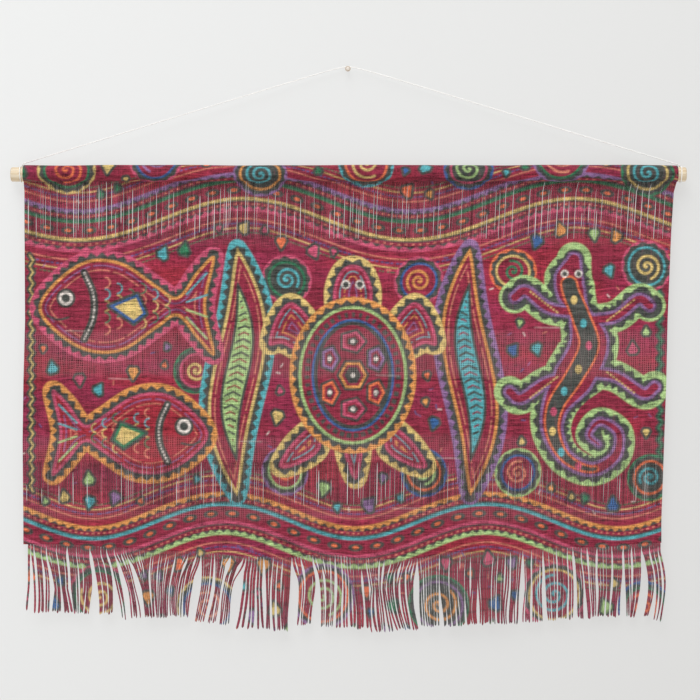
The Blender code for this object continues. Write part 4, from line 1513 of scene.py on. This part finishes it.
LOCKS = np.array(
    (
        # strands, left and right at the root, lean, bow, width at the waist and at the foot, tips
        (1, -388, -385.5, 0, 0, 1, 1, 656),
        (1, -384, -381.5, 1, 2.5, 1, 1, 658),
        (5, -380, -367, 3, 3, 1, 1.2, 658),
        (8, -365, -343, 7.5, 2, 0.7, 1.15, 658),
        (10, -338, -314, 2.5, 1.5, 1, 0.75, 659),
        (6, -312, -293, 8, 4, 0.9, 0.8, 660),
        (3, -292, -283.5, 16.5, 2, 0.95, 0.55, 666),
        (5, -283, -270, 20, 3.5, 0.65, 0.7, 664),
        (8, -268, -247, 14, 3, 0.25, 0.15, 663),
        (15, -246, -207, -2, -2.5, 0.7, 0.65, 664),
        (4, -205.5, -194, -9, -5, 0.6, 0.45, 663),
        (6, -193, -178.5, -13.5, -3.5, 1, 0.75, 663),
        (5, -177.5, -162.5, -10, 3, 0.8, 0.8, 669),
        (6, -161, -146, -11, 1.5, 0.4, 0.55, 670),
        (6, -138, -124, -18.5, -4, 0.7, 0.8, 673),
        (6, -123, -103, -5, 0, 1.1, 1.6, 677),
        (4, -101, -91.5, 0, 0, 0.6, 0.6, 679),
        (8, -89.5, -69, -2, -1, 1, 0.9, 680),
        (7, -67, -44, 2, 4, 0.85, 0.75, 673),
        (9, -41, -17, 4, 2, 0.65, 0.55, 675),
        (5, -14, 2, 1, 1, 1, 1.2, 676),
        (6, 3, 22, 5, 0, 1.1, 1.2, 678),
        (11, 22.5, 51, 3.5, -2, 0.55, 0.75, 681),
        (10, 53.5, 81, 2, -5.5, 1.1, 0.95, 679),
        (8, 87, 110, 1, -1, 0.95, 0.9, 675),
        (8, 111.5, 135, 2.5, -1.5, 1, 0.95, 674),
        (10, 137, 166, 0.5, -1, 0.95, 0.9, 672),
        (10, 168, 196, -2, -1, 0.95, 0.85, 671),
        (5, 197.5, 211, -4, 0, 0.85, 0.8, 671),
        (9, 213, 235, 0, 0, 0.85, 1, 669),
        (5, 238, 252, 3, 0, 0.95, 0.7, 669),
        (6, 253.5, 272, 1, 1, 0.95, 0.9, 666),
        (5, 273.5, 289, 5, 1, 0.95, 0.95, 665),
        (4, 290.5, 301, 2, 0, 0.65, 0.5, 664),
        (9, 303, 333.5, -2, 0.5, 0.8, 0.85, 663),
        (3, 334.5, 342.5, 2.5, 0.5, 0.85, 0.5, 664),
        (4, 345.5, 355, -6, 3, 0.9, 0.35, 664),
        (3, 356.5, 365, -1, 7.5, 0.8, 0.8, 664),
        (4, 366, 375.5, 2, 5.5, 0.7, 0.4, 667),
        (1, 376.5, 379, 2.5, 5.5, 0.9, 0.9, 670),
    )
)


def strand_table(chance):
    """One row for each strand: its lock's number, its even share of the lock's width, and its bunch's middle,
    how tight the bunch is, how far down it is drawn in, and its curl. A lock parts into bunches of two to
    four strands."""
    rows = []
    for number, row in enumerate(LOCKS):
        count = int(row[0])
        even = (np.arange(count) + 0.5) / count
        start = 0
        while start < count:
            own = even[start : start + chance.integers(BUNCH_LEAST, BUNCH_MOST + 1)]
            tight = chance.uniform(*BUNCH_TIGHT)
            opens = chance.uniform(*BUNCH_OPENS)
            curl = chance.normal(0.0, BUNCH_CURL)
            rows += [(number, share, own.mean(), tight, opens, curl) for share in own]
            start += len(own)
    return np.array(rows)


def make_fringe_dye():
    """The same dyed cotton as loose yarn: fine fibre drawn out along the strands, and level darker bands
    where the undone weft had pressed on it."""
    finish = Finish("dyed loose yarn", 0.92, Sheen_Weight=0.25, Sheen_Roughness=0.6)
    yarn = finish.noise((1500.0, 900.0, 90.0), 3.0, 0.65)
    speck = finish.noise((1900.0, 1900.0, 700.0), 2.0, 0.7)
    drift = finish.noise((11.0, 11.0, 25.0), 2.0, 0.5)
    band = (finish.along("Z") * (TURN / WEFT_MARKS) + drift * 16.0).wave().between(0.80, 0.96)
    tone = (yarn - 0.5) * 0.8 + (speck - 0.5) * 0.5 + 1.03 - band * 0.34
    height = yarn * 0.6 + speck * 0.4
    return finish.done(Base_Color=finish.printed(tone), Normal=finish.bump(height, 0.5, 0.8))


def strand_lines(chance):
    """The middle line of every strand: x, distance off the wall, depth and width of each ring, and three
    angles of the strand's own. A strand lies at its lock's middle, which is the root's middle plus lean times
    t and bow times the sine of half a turn, and its place in the lock times the lock's width there, with its
    bunch's curl of one whole wave on top. Under the last row of weft the strands still lie evenly side by
    side, and they part into locks over the first few centimetres."""
    lock, share, bunch, tight, opens, curl = strand_table(chance).T[:, :, None]
    lock = lock[:, 0].astype(int)
    count, left, right, lean, bow, waist, foot, tip = LOCKS[lock].T[:, :, None]
    own = chance.uniform(0.0, TURN, (len(share), 3))
    tip = tip + chance.uniform(0.0, 3.0, share.shape)
    root = hem_depth(left + (right - left) * share) - ROOT_IN
    walk = np.linspace(0.0, 1.0, STRAND_RINGS)[None, :] ** 1.15
    depth = root + (tip - root) * walk
    below = depth - root - ROOT_IN
    t = (depth - LOCK_TOP) / (LOCK_LOW - LOCK_TOP)
    late = np.maximum(t, 0.0)
    widening = 1.0 + (waist - 1.0) * np.clip(t / LOCK_WAIST_AT, 0.0, 1.0)
    widening += (foot - waist) * np.clip((t - LOCK_WAIST_AT) / (1.0 - LOCK_WAIST_AT), 0.0, 1.3)
    widening *= 1.0 + LOOSER * np.clip(late / 0.3, 0.0, 1.0)
    lock_middle = 0.5 * (left + right) + lean * late + bow * np.sin(math.pi * late)
    borders = np.concatenate((LOCKS[:1, 1], 0.5 * (LOCKS[:-1, 2] + LOCKS[1:, 1]), LOCKS[-1:, 2]))
    even_left = borders[lock][:, None]
    even_right = borders[lock + 1][:, None]
    parted = eased(below / (ROOT_PARTS * (0.7 + 0.3 * np.sin(own[:, :1]))))
    spread = (even_right - even_left) * (1.0 - parted) + (right - left) * widening * parted
    middle = 0.5 * (even_left + even_right) * (1.0 - parted) + lock_middle * parted
    drawn = 1.0 - (1.0 - tight) * np.clip(below / opens, 0.0, 1.0)
    x = middle + (bunch - 0.5 + drawn * (share - bunch)) * spread
    x += chance.normal(0.0, STRAY, share.shape) * late + curl * np.sin(TURN * late - 0.6) * late
    x += 0.28 * late * np.sin(depth / 9.0 + own[:, :1]) + 0.35 * late * np.sin(depth / 21.0 + own[:, 1:2])
    wide = np.clip(1.05 * drawn * spread / count, STRAND_NARROWEST, STRAND_WIDTH)
    has_gap = chance.uniform(0.0, 1.0, share.shape) < GAP_SHARE
    gap = np.where(has_gap, chance.uniform(*STRAND_GAP, share.shape), 0.0)
    opened = np.clip((late - chance.uniform(-0.05, 0.3, share.shape)) / 0.25, 0.0, 1.0)
    wide = np.maximum(wide - gap * opened, STRAND_NARROWEST)
    wide = wide * (1.0 - 0.3 * walk**20) * (1.0 + 0.06 * late * np.sin(depth / 6.0 + own[:, 2:]))
    layer = np.where(np.arange(len(share)) % 2 == 0, -1.0, 1.0)[:, None]
    sway = SWAY * np.sin(x / 46.0 + 0.6) * late**2
    off = LAYER_OFF * layer * np.clip(late * 6.0, 0.15, 1.0) + 0.3 * late * np.sin(depth / 13.0 + own[:, 1:2])
    y = ROD_Y + fold(x, hem_depth(x)) + sway + off
    return x, y, depth, wide, own


def fringe_strands():
    """Every strand as a tube round its middle line, drawn in at its tip. Two low ridges turn round it as its
    plies do, and it is paler on its back, where less dye reached it."""
    chance = np.random.default_rng(57)
    x, y, depth, wide, own = (row[..., None] for row in strand_lines(chance))
    angle = around(STRAND_SIDES)
    ply = 1.0 + 0.05 * np.cos(2.0 * (angle - TURN * depth / STRAND_PLY_PITCH + own[:, :1]))
    tip = np.ones((STRAND_RINGS, 1))
    tip[-1] = STRAND_TIP
    points = tube_points(
        x + 0.5 * wide * ply * tip * np.cos(angle), y + STRAND_DEEP * ply * tip * np.sin(angle), depth
    )
    pale = 0.42 * np.clip(0.25 + 0.75 * np.sin(angle), 0.0, 1.0)[:, None]
    colours = tube_colours(points, pale, 1.0 + chance.normal(0.0, 0.13, len(x)), FRINGE_TONE)
    faces = grid_faces(STRAND_RINGS, STRAND_SIDES, closed=True, grids=len(x))
    return points.reshape(-1, 3), faces, colours


strand_points, strand_faces, strand_colours = fringe_strands()
fringe = add_piece("warp_end_fringe", strand_points, strand_faces, make_fringe_dye(), strand_colours)
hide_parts("fringe")

# The room is only a pale wall behind the hanging and a pale floor below it. The wall shows from its front
# alone, so that the hanging can be looked at from behind too, and it holds no light back.
WALL_HALF = 4200.0
WALL_BACK = 1.0
WALL_GLOW = ((0.648, 0.655, 0.650), (0.496, 0.494, 0.484))
FLOOR_DEPTH = 900.0
FLOOR_OUT = 5000.0
SQUARE = ((-1, -1), (1, -1), (1, 1), (-1, 1))


def plain_sheet(name, corners, colour, one_sided):
    """A flat backdrop of one face. A one-sided one is lit by its own glow, which fades from the upper left to
    the lower right, and is clear when it is seen from behind."""
    mesh = bpy.data.meshes.new(name)
    mesh.from_pydata([tuple(MM * c for c in corner) for corner in corners], [], [tuple(range(len(corners)))])
    mesh.update()
    thing = bpy.data.objects.new(name, mesh)
    bpy.context.scene.collection.objects.link(thing)
    finish = Finish(name, 0.95)
    shader = finish.shader
    shader.inputs["Base Color"].default_value = (*dye(*colour), 1.0)
    shader.inputs["Specular IOR Level"].default_value = 0.0
    if one_sided:
        far = (finish.along("X") * 0.62 - finish.along("Z") * 0.42).between(-0.28, 0.66)
        finish.feed(shader.inputs["Emission Color"], finish.mixed(far, *WALL_GLOW))
        shader.inputs["Emission Strength"].default_value = 1.0
        behind = finish.node("ShaderNodeNewGeometry", output="Backfacing")
        clear = finish.node("ShaderNodeBsdfTransparent")
        both = finish.node("ShaderNodeMixShader", {0: behind, 1: Wire(finish, shader.outputs[0]), 2: clear})
        finish.tree.links.new(both.socket, finish.tree.nodes["Material Output"].inputs["Surface"])
    mesh.materials.append(finish.material)
    return thing


wall = plain_sheet(
    "wall_behind",
    [(side * WALL_HALF, WALL_BACK, WALL_HALF if up > 0 else -FLOOR_DEPTH) for side, up in SQUARE],
    (130, 130, 130),
    True,
)
wall.visible_shadow = False
wall.visible_diffuse = False
plain_sheet(
    "floor_below",
    [(side * FLOOR_OUT, out * FLOOR_OUT, -FLOOR_DEPTH) for side, out in SQUARE],
    (232, 231, 229),
    False,
)

# The light is that of a bright room: one large soft lamp above and to the left of the camera, a weaker one
# on the right, one behind for the back views, and an even pale surround.
LAMPS = (
    # name, x, y, z in metres, size across, strength
    ("key_lamp", -1.0, -3.6, 5.5, 4.2, 319.0),
    ("fill_lamp", 3.8, -5.2, 0.8, 4.4, 50.0),
    ("back_lamp", 1.2, 5.2, 2.2, 4.4, 104.0),
)
LAMP_AIM = np.array((0.0, 0.0, -0.38))
SURROUND = dye(250, 250, 250)
SURROUND_STRENGTH = 0.46


def add_lamp(name, place, size, strength):
    """A square soft lamp turned towards the middle of the hanging."""
    data = bpy.data.lights.new(name, "AREA")
    data.shape = "SQUARE"
    data.size = size
    data.energy = strength
    lamp = bpy.data.objects.new(name, data)
    bpy.context.scene.collection.objects.link(lamp)
    lamp.location = place
    aim = np.array(place) - LAMP_AIM
    flat = math.hypot(aim[0], aim[1])
    lamp.rotation_euler = (math.atan2(flat, aim[2]), 0.0, math.atan2(aim[0], -aim[1]))


for name, x, y, z, size, strength in LAMPS:
    add_lamp(name, (x, y, z), size, strength)
world = bpy.data.worlds.new("bright room")
world.use_nodes = True
world.node_tree.nodes["Background"].inputs["Color"].default_value = (*SURROUND, 1.0)
world.node_tree.nodes["Background"].inputs["Strength"].default_value = SURROUND_STRENGTH
bpy.context.scene.world = world
bpy.context.scene.view_settings.view_transform = "Standard"
